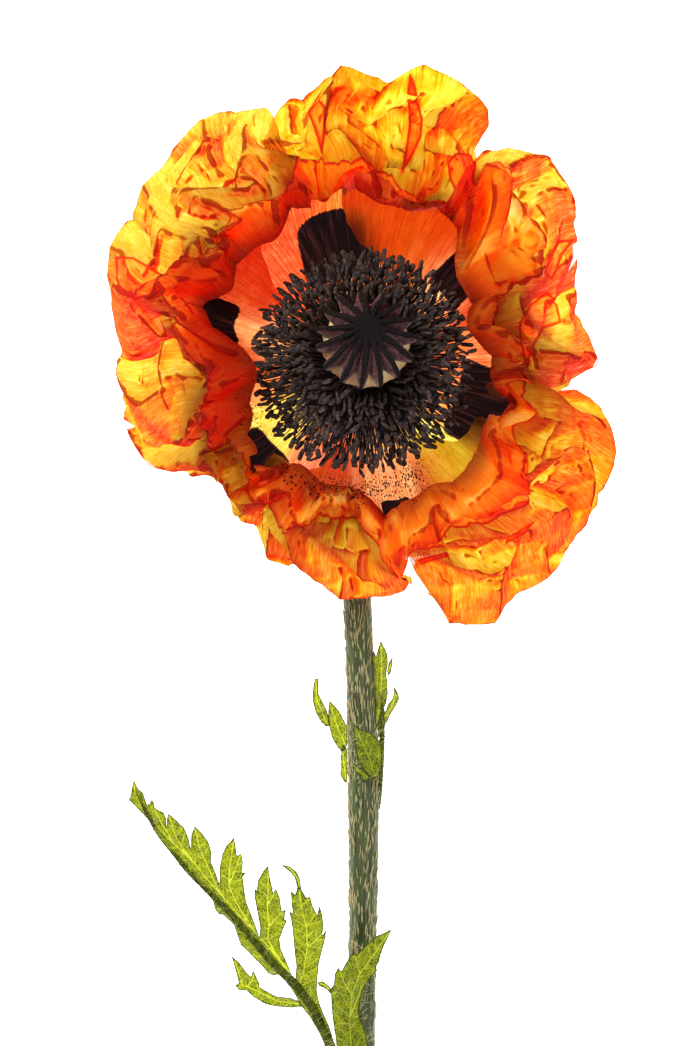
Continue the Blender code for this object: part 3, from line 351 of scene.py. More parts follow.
# Sharp creases: depth, width, and the line each follows
CREASES = [
    (-1.9, 2.4, [(-29, 63), (-28.5, 60), (-28, 56), (-26.5, 51), (-25, 46), (-24.7, 42)]),
    (-1.2, 1.8, [(-28, 56.2), (-24.5, 57), (-21.3, 57.5), (-20.8, 59.5)]),
    (-1.5, 2, [(-20.3, 64), (-20, 61), (-18, 56), (-15.5, 52.5)]),
    (-1.7, 2.2, [(-49, 50.7), (-44, 50.3), (-40, 47), (-36, 46)]),
    (-1.2, 1.8, [(-48, 50.8), (-40, 52), (-38, 53.5), (-33.5, 53)]),
    (-1.3, 2.2, [(-39, 48.5), (-34.5, 50), (-30.5, 52.3)]),
    (-1.4, 2.2, [(-45.8, 47), (-45.7, 44), (-46.3, 41), (-50, 38.2)]),
    (-1, 2, [(-46.3, 41), (-41, 43.8), (-35, 47)]), (-1.4, 2.4, [(-44.5, 38.5), (-46.5, 34), (-47.5, 31)]),
    (-1.2, 1.8, [(-57, 40.5), (-54, 39.5), (-51.5, 37.8)]),
    (-1.3, 1.8, [(-59, 33), (-58.2, 29.5), (-56.5, 26.5)]),
    (-1.2, 1.8, [(-9.3, 60.5), (-4, 59.3), (2, 58.2)]),
    (-1, 1.8, [(-9.3, 58.7), (-4, 57.3), (3, 56.3)]),
    (-2, 2.4, [(-7, 68), (-2, 65), (0, 62), (3, 57), (6, 53), (9, 51)]),
    (-1.4, 1.6, [(-3.5, 72), (-2, 68), (-1, 65)]), (-1.2, 1.6, [(-24.7, 43), (-23, 48), (-22, 52.5)]),
    (-1.2, 1.6, [(-22.5, 56), (-20.5, 53.5), (-18, 52)]),
    (-2, 2.4, [(12, 72), (14, 67), (15, 62), (14.5, 57), (12, 52), (9.5, 47)]),
    (-1.4, 1.6, [(4.5, 68.5), (3.5, 66), (5, 62), (7, 57)]),
    (-1.3, 1.8, [(0.5, 66), (3, 63), (5, 60), (7.5, 55)]), (-1.3, 1.6, [(8, 67.5), (11, 66), (13, 62.5)]),
    (-1.5, 2, [(17, 69), (21, 65), (22.5, 62), (22.5, 59), (19, 57), (16, 59)]),
    (-1.5, 2, [(23, 65), (24, 61), (22.5, 56), (19, 52), (17, 49), (16.5, 46)]),
    (-1.4, 2, [(26.5, 59), (25.5, 55.5), (22, 52), (19, 48.5), (16.5, 46)]),
    (-1.3, 1.8, [(28, 60), (25, 60.5), (23, 62.5)]), (-1.2, 1.6, [(22, 65.5), (26.5, 67.5)]),
    (-1.3, 1.8, [(13.5, 51), (15, 46), (15.5, 41), (17.5, 38)]),
    (-1.5, 1.8, [(28, 54), (27, 50), (27.5, 46), (27, 42)]),
    (-1.3, 1.6, [(43.5, 53), (44, 48), (45.2, 43), (46.5, 38.5), (49.5, 33.5)]),
    (-1.2, 1.6, [(47, 50), (48.5, 46), (50, 42), (51.5, 38), (52, 34)]),
    (-1.2, 1.6, [(38.5, 52), (40, 47), (41, 42)]), (-1.2, 1.6, [(34, 53.5), (36, 50), (38, 48)]),
    (-1.3, 1.6, [(48, 30.5), (46, 27), (44.7, 23)]), (-1.2, 1.6, [(48, 21), (51, 16), (52.5, 12)]),
    (-1.3, 1.6, [(41.5, 16.5), (46, 12), (50, 9.8), (54, 12)]),
    (-1.3, 1.6, [(52, 6.5), (55.5, 3.5), (57.5, 1)]), (-1.3, 1.8, [(38.7, 11), (41, 7), (44, 2), (46, -1)]),
    (-1.6, 2.2, [(50, -6), (54, -9), (59.5, -10.5)]),
    (-1.3, 1.8, [(53, -9), (53.5, -15), (55, -19), (58.5, -21)]),
    (-1.5, 2.2, [(38, -15), (42, -20), (45, -25)]), (-1.6, 2.2, [(60, -22), (53, -23), (47, -26), (42, -27)]),
    (-1.4, 1.8, [(58, -27), (54, -29.5), (49, -30)]),
    (-1.6, 2, [(46, -30), (48, -31), (51, -36), (54, -36), (57, -35.5)]),
    (-1.6, 2.2, [(48, -31), (47, -36), (46.5, -41)]),
    (-1.6, 2.2, [(29, -49), (36, -45.5), (45, -43), (50, -40)]),
    (-1.5, 2.2, [(35, -43.5), (40, -40), (46, -37)]),
    (-1.7, 2.2, [(42.7, -51), (43.5, -46), (47, -42.5), (50, -41)]),
    (-1.3, 1.8, [(24, -43), (25, -48), (28, -53.5)]), (-1.3, 1.8, [(31, -54.5), (36, -53.5), (42, -52)]),
    (-1.3, 1.6, [(38.5, -49), (40, -52), (44, -52)]),
    (-1.2, 1.6, [(32, -56), (27.5, -53), (27, -58), (28, -62)]),
    (-1.2, 2, [(12, -55.5), (20, -55), (26, -54.5)]), (-1.3, 1.8, [(35.5, -58), (36, -54.5), (38.5, -52.5)]),
    (-1.4, 1.8, [(51.5, -32), (53, -37), (52.5, -41), (50, -45)]),
    (-1.7, 2, [(-5, -43.5), (0, -48.5), (2.5, -54), (4, -58)]),
    (-1.4, 1.8, [(3.5, -58), (8, -54), (11, -50)]),
    (-1.4, 1.8, [(-13, -56), (-8, -54.5), (-2, -50.5)]), (-1.4, 1.6, [(-17.5, -52), (-14, -53), (-8, -52.5)]),
    (-1.3, 1.6, [(-14, -49), (-14.5, -45), (-14, -41)]), (-1.5, 1.8, [(-33, -28), (-36, -22.5), (-39, -22)]),
    (-1.4, 1.8, [(-31, -28.5), (-32.5, -24), (-35, -22)]), (-1.3, 1.6, [(-31, -35), (-28, -34), (-27, -38)]),
    (-1.6, 2.2, [(-61, 4), (-56, 3.5), (-52, 1), (-46, -3)]), (-1.4, 2, [(-52, 1), (-54, -4), (-57, -9)]),
    (-1.5, 2, [(-59, -16), (-53, -15.5), (-44, -17)]),
    (-1.4, 2, [(-54, -8), (-52, -13), (-51, -18), (-51, -24)]),
    (-1.3, 2, [(-46, -3), (-47.5, -9), (-48, -13)]), (-1.3, 1.8, [(-50, -24.5), (-44, -25), (-39, -23)]),
    (-1.2, 1.8, [(-62.5, 17), (-58, 15.5), (-56, 12), (-50, 8)]),
    (-1.4, 1.8, [(-59, 6), (-58, 11), (-56, 13)]), (-1.3, 1.8, [(-46.5, -13), (-45.5, -17), (-46, -22)]),
]
# Margin of the inner ring, where the tissue lies doubled and reads red
RING_MARGIN = [
    (-39.4, -17), (-39.3, -8), (-39.3, -1.5), (-42.5, 2.5), (-46, 6), (-47.8, 10), (-47.5, 14),
    (-49.5, 17), (-51.3, 19.3), (-48, 22.6), (-45.5, 26), (-42.5, 27.5), (-37, 28.2), (-35.6, 31),
    (-35.5, 35.2), (-33.5, 38.3), (-29.5, 40.4), (-26.5, 41.3), (-20.3, 42), (-18, 45), (-17.3, 49.5),
    (-15, 51.8), (-11, 52.2), (-6, 51.6), (-3.5, 50.4), (2, 51), (5.5, 51.6), (7.8, 49.5), (9.5, 46),
    (13, 43), (18.5, 40), (23.5, 42.5), (27.3, 44.5), (31, 48.2), (33.8, 48.6), (38.5, 46), (40.5, 40.5),
    (42.5, 35.5), (42.4, 31.5), (41, 28), (38.5, 23.5), (35, 19.5), (33, 16), (33.5, 13), (35.2, 9.2),
    (36.5, 6.7), (38.8, 5), (39, -1), (42, -6), (41.5, -12), (38.5, -15.2), (40.5, -20.5), (43, -25.5),
    (42.6, -31), (39.5, -34.2), (28, -38.6), (24, -42), (22, -45), (15, -47), (10, -46.6), (5, -43),
    (0, -40.6), (-6, -39), (-11, -37), (-13.5, -39), (-19, -41.3), (-22.5, -38), (-26, -34), (-28, -31),
    (-30, -25), (-33, -21), (-38, -19.6),
]
# Folds outside it where the band is doubled too
FOLDED = [
    [(-14, 63.5), (-11, 66), (-9.2, 64), (-9.3, 58), (-10.2, 52.5), (-11.5, 57)],
    [(11, 67.5), (14, 66), (15, 62), (14.5, 57), (12, 52), (9.3, 47.5), (10.6, 54), (11.5, 61)],
    [(11, 68.5), (11.7, 73.5), (13, 71), (13.8, 67.6)],
    [(21.5, 47), (21, 51), (23, 53), (27, 53.5), (28.3, 50), (27.5, 47), (27, 42), (24, 41.5)],
    [(-61.5, 27), (-57, 27), (-50, 23), (-52.5, 17), (-56, 16), (-60, 18), (-61.5, 22)],
    [(28, -37), (36, -34.2), (42, -33), (40.5, -34.8), (30, -38.6)],
    [(13.5, -48.2), (21, -46.2), (21.8, -47.2), (13.3, -49.9)],
    [(44.8, 22.8), (46.5, 28), (48.5, 31.5), (53, 32), (49.5, 27.5), (48.2, 23.5), (47, 21.5)],
    [(39.2, 5), (38.9, 11), (42, 16), (46, 19), (48.8, 16), (49.5, 11), (45, 9.5), (42, 4), (41, -1)],
    [(36, -42.5), (43, -38.3), (40, -42), (35.5, -44.2)],
]
# Bits of the band that have dried white
DRIED = [
    [(9, -46.9), (12.8, -49.8), (13.1, -48.2), (20.8, -45.8), (16, -47.2), (12, -47.5)],
    [(-59.8, -13), (-57, -14.8), (-58.4, -15.8), (-60, -15)],
    [(-54, -23.2), (-51.5, -25.2), (-53.3, -26.4), (-54.6, -25)],
    [(52.3, 30.6), (54.3, 31.5), (53.4, 27), (51.2, 23.6), (52.3, 27)],
    [(58.8, 3), (57.5, 0.5), (56.8, -1), (58.3, 0.5)],
]

# Fallen pollen: angle, distance from the axis, spread in degrees and outwards, and how much
POLLEN = [
    (205, 29, 16, 6, 0.75), (240, 33, 14, 5, 0.8), (268, 31, 20, 5, 1.0), (291, 31, 12, 6, 0.9),
    (155, 31, 22, 7, 0.35), (310, 28, 14, 5, 0.3), (248, 48, 12, 7, 0.55), (20, 30, 20, 5, 0.25),
]
# Name, middle angle, whorl (1 over, -1 under), angles between which its edge is the bloom's outline,
# and its dark blotch: middle angle, half width, and the shares of the section where it starts and ends
PETALS = [
    ("petal_1", 103.0, -1, (59.0, 112.0), (102.8, 9.4, 0.17, 0.312)),
    ("petal_2", 42.0, 1, (-6.0, 59.0), (42.0, 5.2, 0.22, 0.36)),
    ("petal_3", 342.0, -1, (283.0, 354.0), (340.5, 10.0, 0.19, 0.43)),
    ("petal_4", 281.0, 1, (281.0, 281.0), (283.0, 3.6, 0.30, 0.37)),
    ("petal_5", 224.0, -1, (214.0, 283.0), (222.0, 7.2, 0.25, 0.44)),
    ("petal_6", 164.5, 1, (108.0, 226.0), (163.3, 5.0, 0.275, 0.39)),
]
# A petal's half width in degrees at each of these shares of its section
SECTION_KNOTS = [0.0, 0.10, 0.23, 0.35, 0.42, 0.48, 0.525, 0.57, 0.63, 0.72, 0.85, 1.0]
UNDER_WIDTHS = [25.0, 36.0, 44.0, 52.0, 56.0, 58.3, 58.3, 58.3, 58.3, 58.3, 58.3, 58.3]
OVER_WIDTHS = [18.0, 19.0, 23.0, 33.0, 44.0, 52.0, 56.0, 56.0, 56.0, 56.0, 56.0, 56.0]


def triangle_wave(x):
    """Like a sine, but with straight flanks and sharp turns."""
    return np.arcsin(0.97 * np.sin(x)) / math.asin(0.97)


def round_the_flower(table, degrees, ease=smoothstep):
    """Read a closed curve given as (degrees, value) points at any angle."""
    angles = np.array([p[0] for p in table] + [table[0][0] + 360.0])
    values = np.array([p[1] for p in table] + [table[0][1]], float)
    degrees = (degrees - angles[0]) % 360.0 + angles[0]
    k = np.clip(np.searchsorted(angles, degrees, side="right") - 1, 0, len(table) - 1)
    return values[k] + (values[k + 1] - values[k]) * ease((degrees - angles[k]) / (angles[k + 1] - angles[k]))


def band_sizes(degrees):
    """Where the band starts to fall, how wide it is from there, and how far it falls."""
    fall_from = round_the_flower(FOLD_LINE, degrees) + RIDGE_WIDE
    band = round_the_flower(OUTLINE, degrees, np.asarray) - fall_from
    return fall_from, band, RIDGE_Z - round_the_flower(EDGE_HEIGHT, degrees)


def settled(places):
    """Bring places laid out flat, as the camera sees them, down onto the band that they lie on."""
    places = np.array(places, float)
    degrees = np.degrees(np.arctan2(places[:, 1], places[:, 0]))
    fall_from, band, drop = band_sizes(degrees)
    out = np.clip((np.hypot(*places.T) - fall_from) / band, 0.0, 1.0)
    nearer = (EYE_HEIGHT - RIDGE_Z + drop * out**FALL_CURVE) / (EYE_HEIGHT - TRUE_SIZE_HEIGHT)
    return EYE + (places - EYE) * nearer[:, None]


def curve_through(knots, values, t):
    """A smooth curve through per-point control values at the given knots."""
    knots = np.asarray(knots)
    values = np.array(np.broadcast_arrays(*values, t)[:-1])
    slopes = np.empty_like(values)
    slopes[1:-1] = (values[2:] - values[:-2]) / (knots[2:] - knots[:-2])[:, None]
    slopes[0] = (values[1] - values[0]) / (knots[1] - knots[0])
    slopes[-1] = (values[-1] - values[-2]) / (knots[-1] - knots[-2])
    k = np.clip(np.searchsorted(knots, t, side="right") - 1, 0, len(knots) - 2)
    i = np.arange(len(t))
    span = knots[k + 1] - knots[k]
    s = (t - knots[k]) / span
    return ((2 * s**3 - 3 * s**2 + 1) * values[k, i] + (s**3 - 2 * s**2 + s) * span * slopes[k, i]
            + (3 * s**2 - 2 * s**3) * values[k + 1, i] + (s**3 - s**2) * span * slopes[k + 1, i])


def section(degrees, t):
    """Radius and height of the middle surface at a share t of the way from root to edge."""
    fall_from, band, drop = band_sizes(degrees)
    fold = fall_from - RIDGE_WIDE
    wall = np.maximum(fold + 4.5, 39.0)
    ones = np.ones_like(t)
    radii = [ROOT_RADIUS, 16.0, 27.0, wall - 2.0, wall, 0.5 * (wall + fold) + 0.5, fold, fold + 2.8,
             fall_from, fall_from + 0.3 * band, fall_from + 0.66 * band, fall_from + band]
    heights = [ROOT_Z, CUP_FLOOR_Z, CUP_FLOOR_Z + 2.0, 30.5, 36.5, 40.0, RIDGE_Z - 2.6, RIDGE_Z + 0.4,
               RIDGE_Z, RIDGE_Z - 0.2 * drop, RIDGE_Z - 0.58 * drop, RIDGE_Z - drop]
    return (curve_through(SECTION_KNOTS, [r * ones for r in radii], t),
            curve_through(SECTION_KNOTS, [z * ones for z in heights], t))


def sheet_point(degrees, t, offset):
    """A point of the sheet that lies at an offset from the middle surface."""
    r0, z0 = section(degrees, np.maximum(t - 0.004, 0.0))
    r1, z1 = section(degrees, np.minimum(t + 0.004, 1.0))
    length = np.hypot(r1 - r0, z1 - z0)
    radius, height = section(degrees, t)
    return radius - offset * (z1 - z0) / length, height + offset * (r1 - r0) / length


def value_noise(x, y, seed):
    """Smooth random values from -1 to 1 with a wavelength of about 2."""
    table = np.random.default_rng(seed).uniform(-1.0, 1.0, (256, 256))
    i, j = np.floor(x).astype(int), np.floor(y).astype(int)
    u, v = smoothstep(x - i), smoothstep(y - j)
    a, b = table[i % 256, j % 256], table[(i + 1) % 256, j % 256]
    c, d = table[i % 256, (j + 1) % 256], table[(i + 1) % 256, (j + 1) % 256]
    return (a * (1 - u) + b * u) * (1 - v) + (c * (1 - u) + d * u) * v


def refined(grid, turns, rows):
    """Resample a ring-shaped grid of points to more columns round it and more rows."""
    i = np.arange(turns) * grid.shape[0] / turns
    j = np.linspace(0.0, grid.shape[1] - 1.0, rows)
    return ring_value(grid, *np.meshgrid(i, j, indexing="ij"))


def ring_value(grid, i, j):
    """Read a ring-shaped grid between its points along smooth curves."""
    count = grid.shape[0]
    i0 = np.floor(i).astype(int)
    j0 = np.clip(np.floor(j).astype(int), 0, grid.shape[1] - 2)
    u, v = (i - i0)[..., None], (j - j0)[..., None]

    def weights(x):
        return (-0.5 * x + x**2 - 0.5 * x**3, 1 - 2.5 * x**2 + 1.5 * x**3,
                0.5 * x + 2 * x**2 - 1.5 * x**3, -0.5 * x**2 + 0.5 * x**3)

    total = 0.0
    for a, wa in enumerate(weights(u)):
        for b, wb in enumerate(weights(v)):
            jj = np.clip(j0 + b - 1, 0, grid.shape[1] - 1)
            total = total + wa * wb * grid[(i0 + a - 1) % count, jj]
    return total


def gathered(smooth, start, spare_round, spare_out, steps, stiff, sharp, hold, seed):
    """Let a sheet with spare tissue buckle within a few millimetres of its smooth place.

    The tissue keeps its length, so it folds; bends above a limit stay sharp and flats stay flat.
    """
    dice = np.random.default_rng(seed)
    points = start + dice.normal(0.0, 0.05, start.shape)
    base_u = np.linalg.norm(np.roll(smooth, -1, 0) - smooth, axis=-1)
    base_v = np.linalg.norm(np.diff(smooth, axis=1), axis=-1)
    size = smooth.shape[1]
    at_edge = smoothstep((np.arange(size)[:, None] - 0.95 * size) / (0.05 * size))
    held = np.array((1.0, 1.0, 0.2)) * 0.06 * at_edge
    free = smoothstep((np.arange(size) - 1.5) / 5.0)[None, :, None]

    def pull(a, b, rest, share):
        d = b - a
        length = np.linalg.norm(d, axis=-1, keepdims=True) + 1e-9
        move = 0.5 * share * (1.0 - rest[..., None] / length) * d
        a += move
        b -= move

    for step in range(steps):
        grow = min(1.0, (step + 1) / (0.6 * steps))
        rest_u = base_u * (1.0 + grow * spare_round)
        rest_v = base_v * (1.0 + grow * spare_out[:, 1:])
        pull(points[0::2], points[1::2], rest_u[0::2], 0.9)
        points, rolled = np.roll(points, -1, 0), np.roll(rest_u, -1, 0)
        pull(points[0::2], points[1::2], rolled[0::2], 0.9)
        points = np.roll(points, 1, 0)
        pull(points[:, 0:size - 1:2], points[:, 1::2], rest_v[:, 0::2], 0.9)
        pull(points[:, 1:size - 1:2], points[:, 2::2], rest_v[:, 1::2], 0.9)
        mean_u = 0.5 * (rest_u[:, :-1] + rest_u[:, 1:])
        cross = np.sqrt(mean_u**2 + rest_v**2)[..., None]
        ahead = np.roll(points, -1, 0)
        for near, far in ((slice(None, -1), slice(1, None)), (slice(1, None), slice(None, -1))):
            d = ahead[:, far] - points[:, near]
            move = 0.12 * (1.0 - cross / (np.linalg.norm(d, axis=-1, keepdims=True) + 1e-9)) * d
            points[:, far] -= np.roll(move, 1, 0)
            points[:, near] += move
        for axis in (0, 1):
            off = points - 0.5 * (np.roll(points, 1, axis) + np.roll(points, -1, axis))
            if axis == 1:
                off[:, 0] = off[:, -1] = 0.0
            bend = stiff / (1.0 + (off**2).sum(-1, keepdims=True) / sharp**2) * off
            points = points - bend + 0.5 * (np.roll(bend, 1, axis) + np.roll(bend, -1, axis))
        points += (hold + held) * (smooth - points)
        points = smooth + (points - smooth) * free
        points[..., 2] = np.maximum(points[..., 2], 0.5)
    return points


def doubled_back(degrees, radius, height):
    """Fold the sheet back on itself along the ring where no free margin lies over it."""
    arc = np.radians(degrees % 360.0) * ARC_RADIUS
    fold = round_the_flower(FOLD_LINE, degrees)
    uneven = np.clip(0.75 + 0.9 * value_noise(arc / 9.0, 0.0 * arc, 41), 0.0, 1.3)
    over = round_the_flower(DOUBLED, degrees) * uneven
    gate = smoothstep((radius - fold - 2.0) / 5.0)
    x = (radius - inner_margin(degrees, 1)) / DOUBLED_WIDE
    radius = radius - 3.0 * over * gate * DOUBLED_WIDE * x * np.exp(-x**2)
    return radius, height + DOUBLED_STEP * gate * (0.5 - 0.5 * np.tanh(2.0 * x)) * np.minimum(over + 0.3, 1.0)


def crush(degrees, radius, height):
    """Shear all sheets alike into pleats, dents and leaning folds, which keeps them apart."""
    radius, height = doubled_back(degrees, radius, height)
    a = np.radians(degrees)
    lift = smoothstep((height - 25.0) / 14.0)
    radius = radius + lift * (PLEAT_IN * triangle_wave(13 * a + 1.2 * np.sin(3 * a) + 0.4)
                              + 0.5 * PLEAT_IN * triangle_wave(22 * a + 0.2 * height + 1.1 * np.sin(5 * a)))
    cup = (1.0 - lift) * smoothstep((radius - 10.0) / 10.0)
    height = height + 0.22 * cup * triangle_wave(41 * a + 2.0 * np.sin(5 * a) + 0.04 * radius)
    out = smoothstep((radius - 32.0) / 24.0)
    pleats = (0.6 * triangle_wave(12 * a + 0.9 * np.sin(3 * a + 1.0))
              + 0.4 * triangle_wave(21 * a + 0.10 * radius + 1.3 * np.sin(4 * a + 2.0)))
    dents = (triangle_wave(0.40 * radius + 6 * a + 1.5 * np.sin(5 * a))
             + triangle_wave(0.30 * radius - 9 * a + 1.0 * np.sin(7 * a + 1.0)))
    height = height + out * (PLEAT_HEIGHT * pleats + DENT_HEIGHT * dents)
    fall_from, wide, drop = band_sizes(degrees)
    band = np.clip((radius - fall_from) / wide, 0.0, 1.3)
    stands = np.clip(height - RIDGE_Z + drop * np.maximum(band, 1e-6)**FALL_CURVE, -5.0, 5.0)
    outside = smoothstep((radius - fall_from + 3.0) / 8.0)
    upright = 1.0 - 0.45 * smoothstep((band - 0.6) / 0.4)  # the pleats lean less towards the edge
    lean = LEAN * outside * upright * np.sin(3 * a + 0.05 * radius + 0.6)
    degrees = degrees + TWIST * np.sin(0.23 * radius + 1.0) * out
    return degrees + np.degrees(lean * stands / np.maximum(radius, 20.0)), radius, height


def inner_margin(degrees, whorl):
    """Where the ruffled margin of a petal over or under its neighbour runs."""
    arc = np.radians(degrees % 360.0) * ARC_RADIUS
    margin = settled(RING_MARGIN)
    angles = np.degrees(np.arctan2(margin[:, 1], margin[:, 0]))
    radius = np.interp(degrees, angles, np.hypot(*margin.T), period=360.0)
    return (radius + 0.8 * value_noise(arc / 3.0, 0.0 * arc, 11 + whorl)
            + 0.5 * value_noise(arc / 1.0, 0.0 * arc, 21 + whorl))


def smooth_sheet(degrees, t, offset):
    """Where the sheet at an offset from the middle surface would lie with no spare tissue."""
    radius, height = sheet_point(degrees, t, offset)
    degrees, radius, height = crush(degrees, radius, height)
    soft = height - 0.4
    height = 0.4 + 0.5 * (soft + np.sqrt(soft**2 + 2.0))
    a = np.radians(degrees)
    return np.stack([radius * np.cos(a), radius * np.sin(a), height], axis=-1)


def nearest(places, lines):
    """Distance, signed distance and travel to the nearest of several lines."""
    best = np.full(len(places), 1e9)
    aside, along = np.zeros(len(places)), np.zeros(len(places))
    apart = 17.0  # keeps the grain of one line from repeating on the next
    for number, (line, travel) in enumerate(lines):
        for k in range(len(line) - 1):
            step = line[k + 1] - line[k]
            off = places - line[k]
            share = np.clip(off @ step / (step @ step), 0.0, 1.0)
            gap = off - share[:, None] * step
            distance = np.hypot(gap[:, 0], gap[:, 1])
            sign = np.sign(step[0] * off[:, 1] - step[1] * off[:, 0])
            near = distance < best
            best[near], aside[near] = distance[near], (sign * distance)[near]
            along[near] = travel[k] + share[near] * math.hypot(*step) + apart * number
    return best, aside, along


def inside(places, outline):
    """Which places lie inside a closed outline."""
    x, y = places[:, 0], places[:, 1]
    held = np.zeros(len(places), bool)
    for (ax, ay), (bx, by) in zip(outline, np.roll(outline, -1, axis=0)):
        cross = (ay > y) != (by > y)
        held ^= cross & (x < (bx - ax) * (y - ay) / (by - ay + 1e-12) + ax)
    return held


def within(places, outlines):
    """Signed distance to the nearest of several outlines, more than nothing inside."""
    best = np.full(len(places), -1e9)
    for outline in outlines:
        loop = settled(outline + outline[:1])
        distance = nearest(places, [(loop, np.zeros(len(loop)))])[0]
        best = np.maximum(best, np.where(inside(places, loop[:-1]), distance, -distance))
    return best


def creased(points):
    """Press the sharp creases into the sheet: flat flanks falling to a line."""
    flat = points[..., :2].reshape(-1, 2)
    sink = np.zeros(len(flat))
    for depth, wide, line in CREASES:
        line = settled(line)
        near = np.flatnonzero(np.abs(flat - 0.5 * (line.min(0) + line.max(0))).max(-1)
                              < 0.5 * np.ptp(line, axis=0).max() + 4.0 * wide)
        travel = travel_along(line)
        distance, _, along = nearest(flat[near], [(line, travel)])
        share = along / travel[-1]
        taper = np.minimum(1.0, 0.25 + 3.5 * np.minimum(share, 1.0 - share))
        sink[near] += depth * taper * np.exp(-distance / wide)
    points = points.copy()
    points[..., 2] += np.maximum(sink, -DEEPEST_PRESS).reshape(points.shape[:-1])
    return points


def gathered_ring():
    """Crumple the outer part of the middle surface, ever finer; gives its shift and its normals' shift."""
    moved = None
    for level, (turns, rows, steps, stiff, sharpest, hold) in enumerate(GATHERS):
        degrees, t = np.meshgrid(np.arange(turns) * 360.0 / turns, np.linspace(GATHER_FROM, 1.0, rows),
                                 indexing="ij")
        smooth = smooth_sheet(degrees.ravel(), t.ravel(), 0.0).reshape(turns, rows, 3)
        arc, path = np.radians(degrees) * 55.0, t * 90.0
        loose = smoothstep((t - GATHER_FROM - 0.03) / 0.12)
        if moved is None:
            bulge = (3.4 * (0.35 - np.abs(value_noise(arc / 7.0, path / 14.0, 44)))
                     + 1.6 * (np.abs(value_noise(arc / 4.0 + path / 9.0, path / 7.0, 45)) - 0.35))
            start = smooth + (loose * bulge)[..., None] * np.array((0.0, 0.0, 1.0))
        else:
            start = smooth + refined(moved, turns, rows)
        slack = loose * (1.0 - 0.75 * smoothstep((t - 0.88) / 0.10))
        much = [low + extra * (0.5 + 0.5 * value_noise(arc / 8.0, path / 9.0, seed))
                for seed, (low, extra) in enumerate((SPARE_ROUND, SPARE_OUT), 46)]
        crumpled = gathered(smooth, start, much[0] * slack, much[1] * slack, steps, stiff, sharpest, hold,
                            48 + level)
        moved = crumpled - smooth
    crumpled = creased(crumpled)
    return crumpled - smooth, sheet_normals(crumpled) - sheet_normals(smooth)


def sheet_normals(points):
    along = np.gradient(points, axis=1)
    across = 0.5 * (np.roll(points, -1, 0) - np.roll(points, 1, 0))
    return unit(np.cross(across, -along))


def own_share(degrees, owned):
    """How much of the petal's edge is the bloom's outline (1), not a free margin at its neighbour (0)."""
    first, last = owned
    return smoothstep((degrees - first) / OWN_EASE + 0.5) * smoothstep((last - degrees) / OWN_EASE + 0.5)


def reach_table(middle, owned, whorl):
    """How far the petal reaches, as a share of the section, for each quarter of a degree."""
    degrees = np.arange(middle - PETAL_REACH, middle + PETAL_REACH, 0.25)
    shares = np.linspace(0.55, 1.0, 91)
    radii = np.stack([section(degrees, np.full_like(degrees, t))[0] for t in shares])
    arc = np.radians(degrees) * ARC_RADIUS
    goal = inner_margin(degrees, whorl)
    ends = np.array([np.interp(g, r, shares) for g, r in zip(goal, np.maximum.accumulate(radii, axis=0).T)])
    ends = ends + (1.0 - ends) * own_share(degrees, owned)
    nick = 0.012 * value_noise(arc / 1.4, 0 * arc + 5, 31) + 0.014 * value_noise(arc / 4.0, 0 * arc + 9, 32)
    return degrees, ends - 0.010 - np.abs(nick) * 0.8


def petal_sheet(ring, middle, whorl, owned):
    """The petal's points, and for each its angle, share of the section, distances from the root and to the
    edge, how much that edge is its own, and its radius before it is crushed.
    """
    widths = OVER_WIDTHS if whorl > 0 else UNDER_WIDTHS
    fine = np.linspace(0.0, 1.0, 400)
    radius, height = section(np.full_like(fine, middle), fine)
    path = travel_along(np.column_stack([radius, height]))
    crowd = np.concatenate([[0.0], np.cumsum(np.diff(path) * np.where(fine[1:] < 0.42, 0.6, 1.3))])
    rows = int(path[-1] / SHEET_STEP)
    columns = int(2.0 * math.radians(widths[-1]) * 60.0 / SHEET_STEP)
    t_rows = np.interp(np.linspace(0.0, crowd[-1], rows), crowd, fine)
    t, s = np.meshgrid(t_rows, np.linspace(-1.0, 1.0, columns), indexing="ij")
    t, s = t.ravel(), s.ravel()
    half = np.interp(t, SECTION_KNOTS, widths)
    half = half * (1.0 + 0.025 * value_noise(t * 26.0, s * 0 + 3.0 * np.sign(s), 40 + whorl))
    half = np.minimum(half, widths[-1])
    degrees = middle + s * half
    angles, ends = reach_table(middle, owned, whorl)
    reach = np.interp(degrees, angles, ends) * (1.0 - 0.05 * np.abs(s)**8)
    t = t * reach
    offset = SHEET_OFFSET + (CLOSE_OFFSET - SHEET_OFFSET) * smoothstep((t - BAND_FROM) / 0.12)
    flat_radius = sheet_point(degrees, t, whorl * offset)[0]
    points = smooth_sheet(degrees, t, whorl * offset)
    to_edge = np.interp(reach, fine, path) - np.interp(t, fine, path)
    half_degrees = np.arange(middle - PETAL_REACH, middle + PETAL_REACH, 0.5)
    own = np.interp(degrees, half_degrees, own_share(half_degrees, owned))
    if whorl > 0:  # the free margins over a neighbour curl up
        points[:, 2] += 2.0 * (1.0 - own) * smoothstep(1.0 - to_edge / 7.0)
    moved, turned = ring
    i = (degrees % 360.0) / 360.0 * moved.shape[0]
    j = (np.maximum(t, GATHER_FROM) - GATHER_FROM) / (1.0 - GATHER_FROM) * (moved.shape[1] - 1)
    points = points + ring_value(moved, i, j) + (whorl * offset)[:, None] * ring_value(turned, i, j)
    points[:, 2] = np.maximum(points[:, 2], 0.25)
    points = points.reshape(rows, columns, 3)
    # take off the saw-teeth where a crease runs across the grid
    points[1:-1] += 0.5 * (0.5 * (points[:-2] + points[2:]) - points[1:-1])
    points[:, 1:-1] += 0.5 * (0.5 * (points[:, :-2] + points[:, 2:]) - points[:, 1:-1])
    return points, degrees, t, np.interp(t, fine, path), to_edge, own, flat_radius


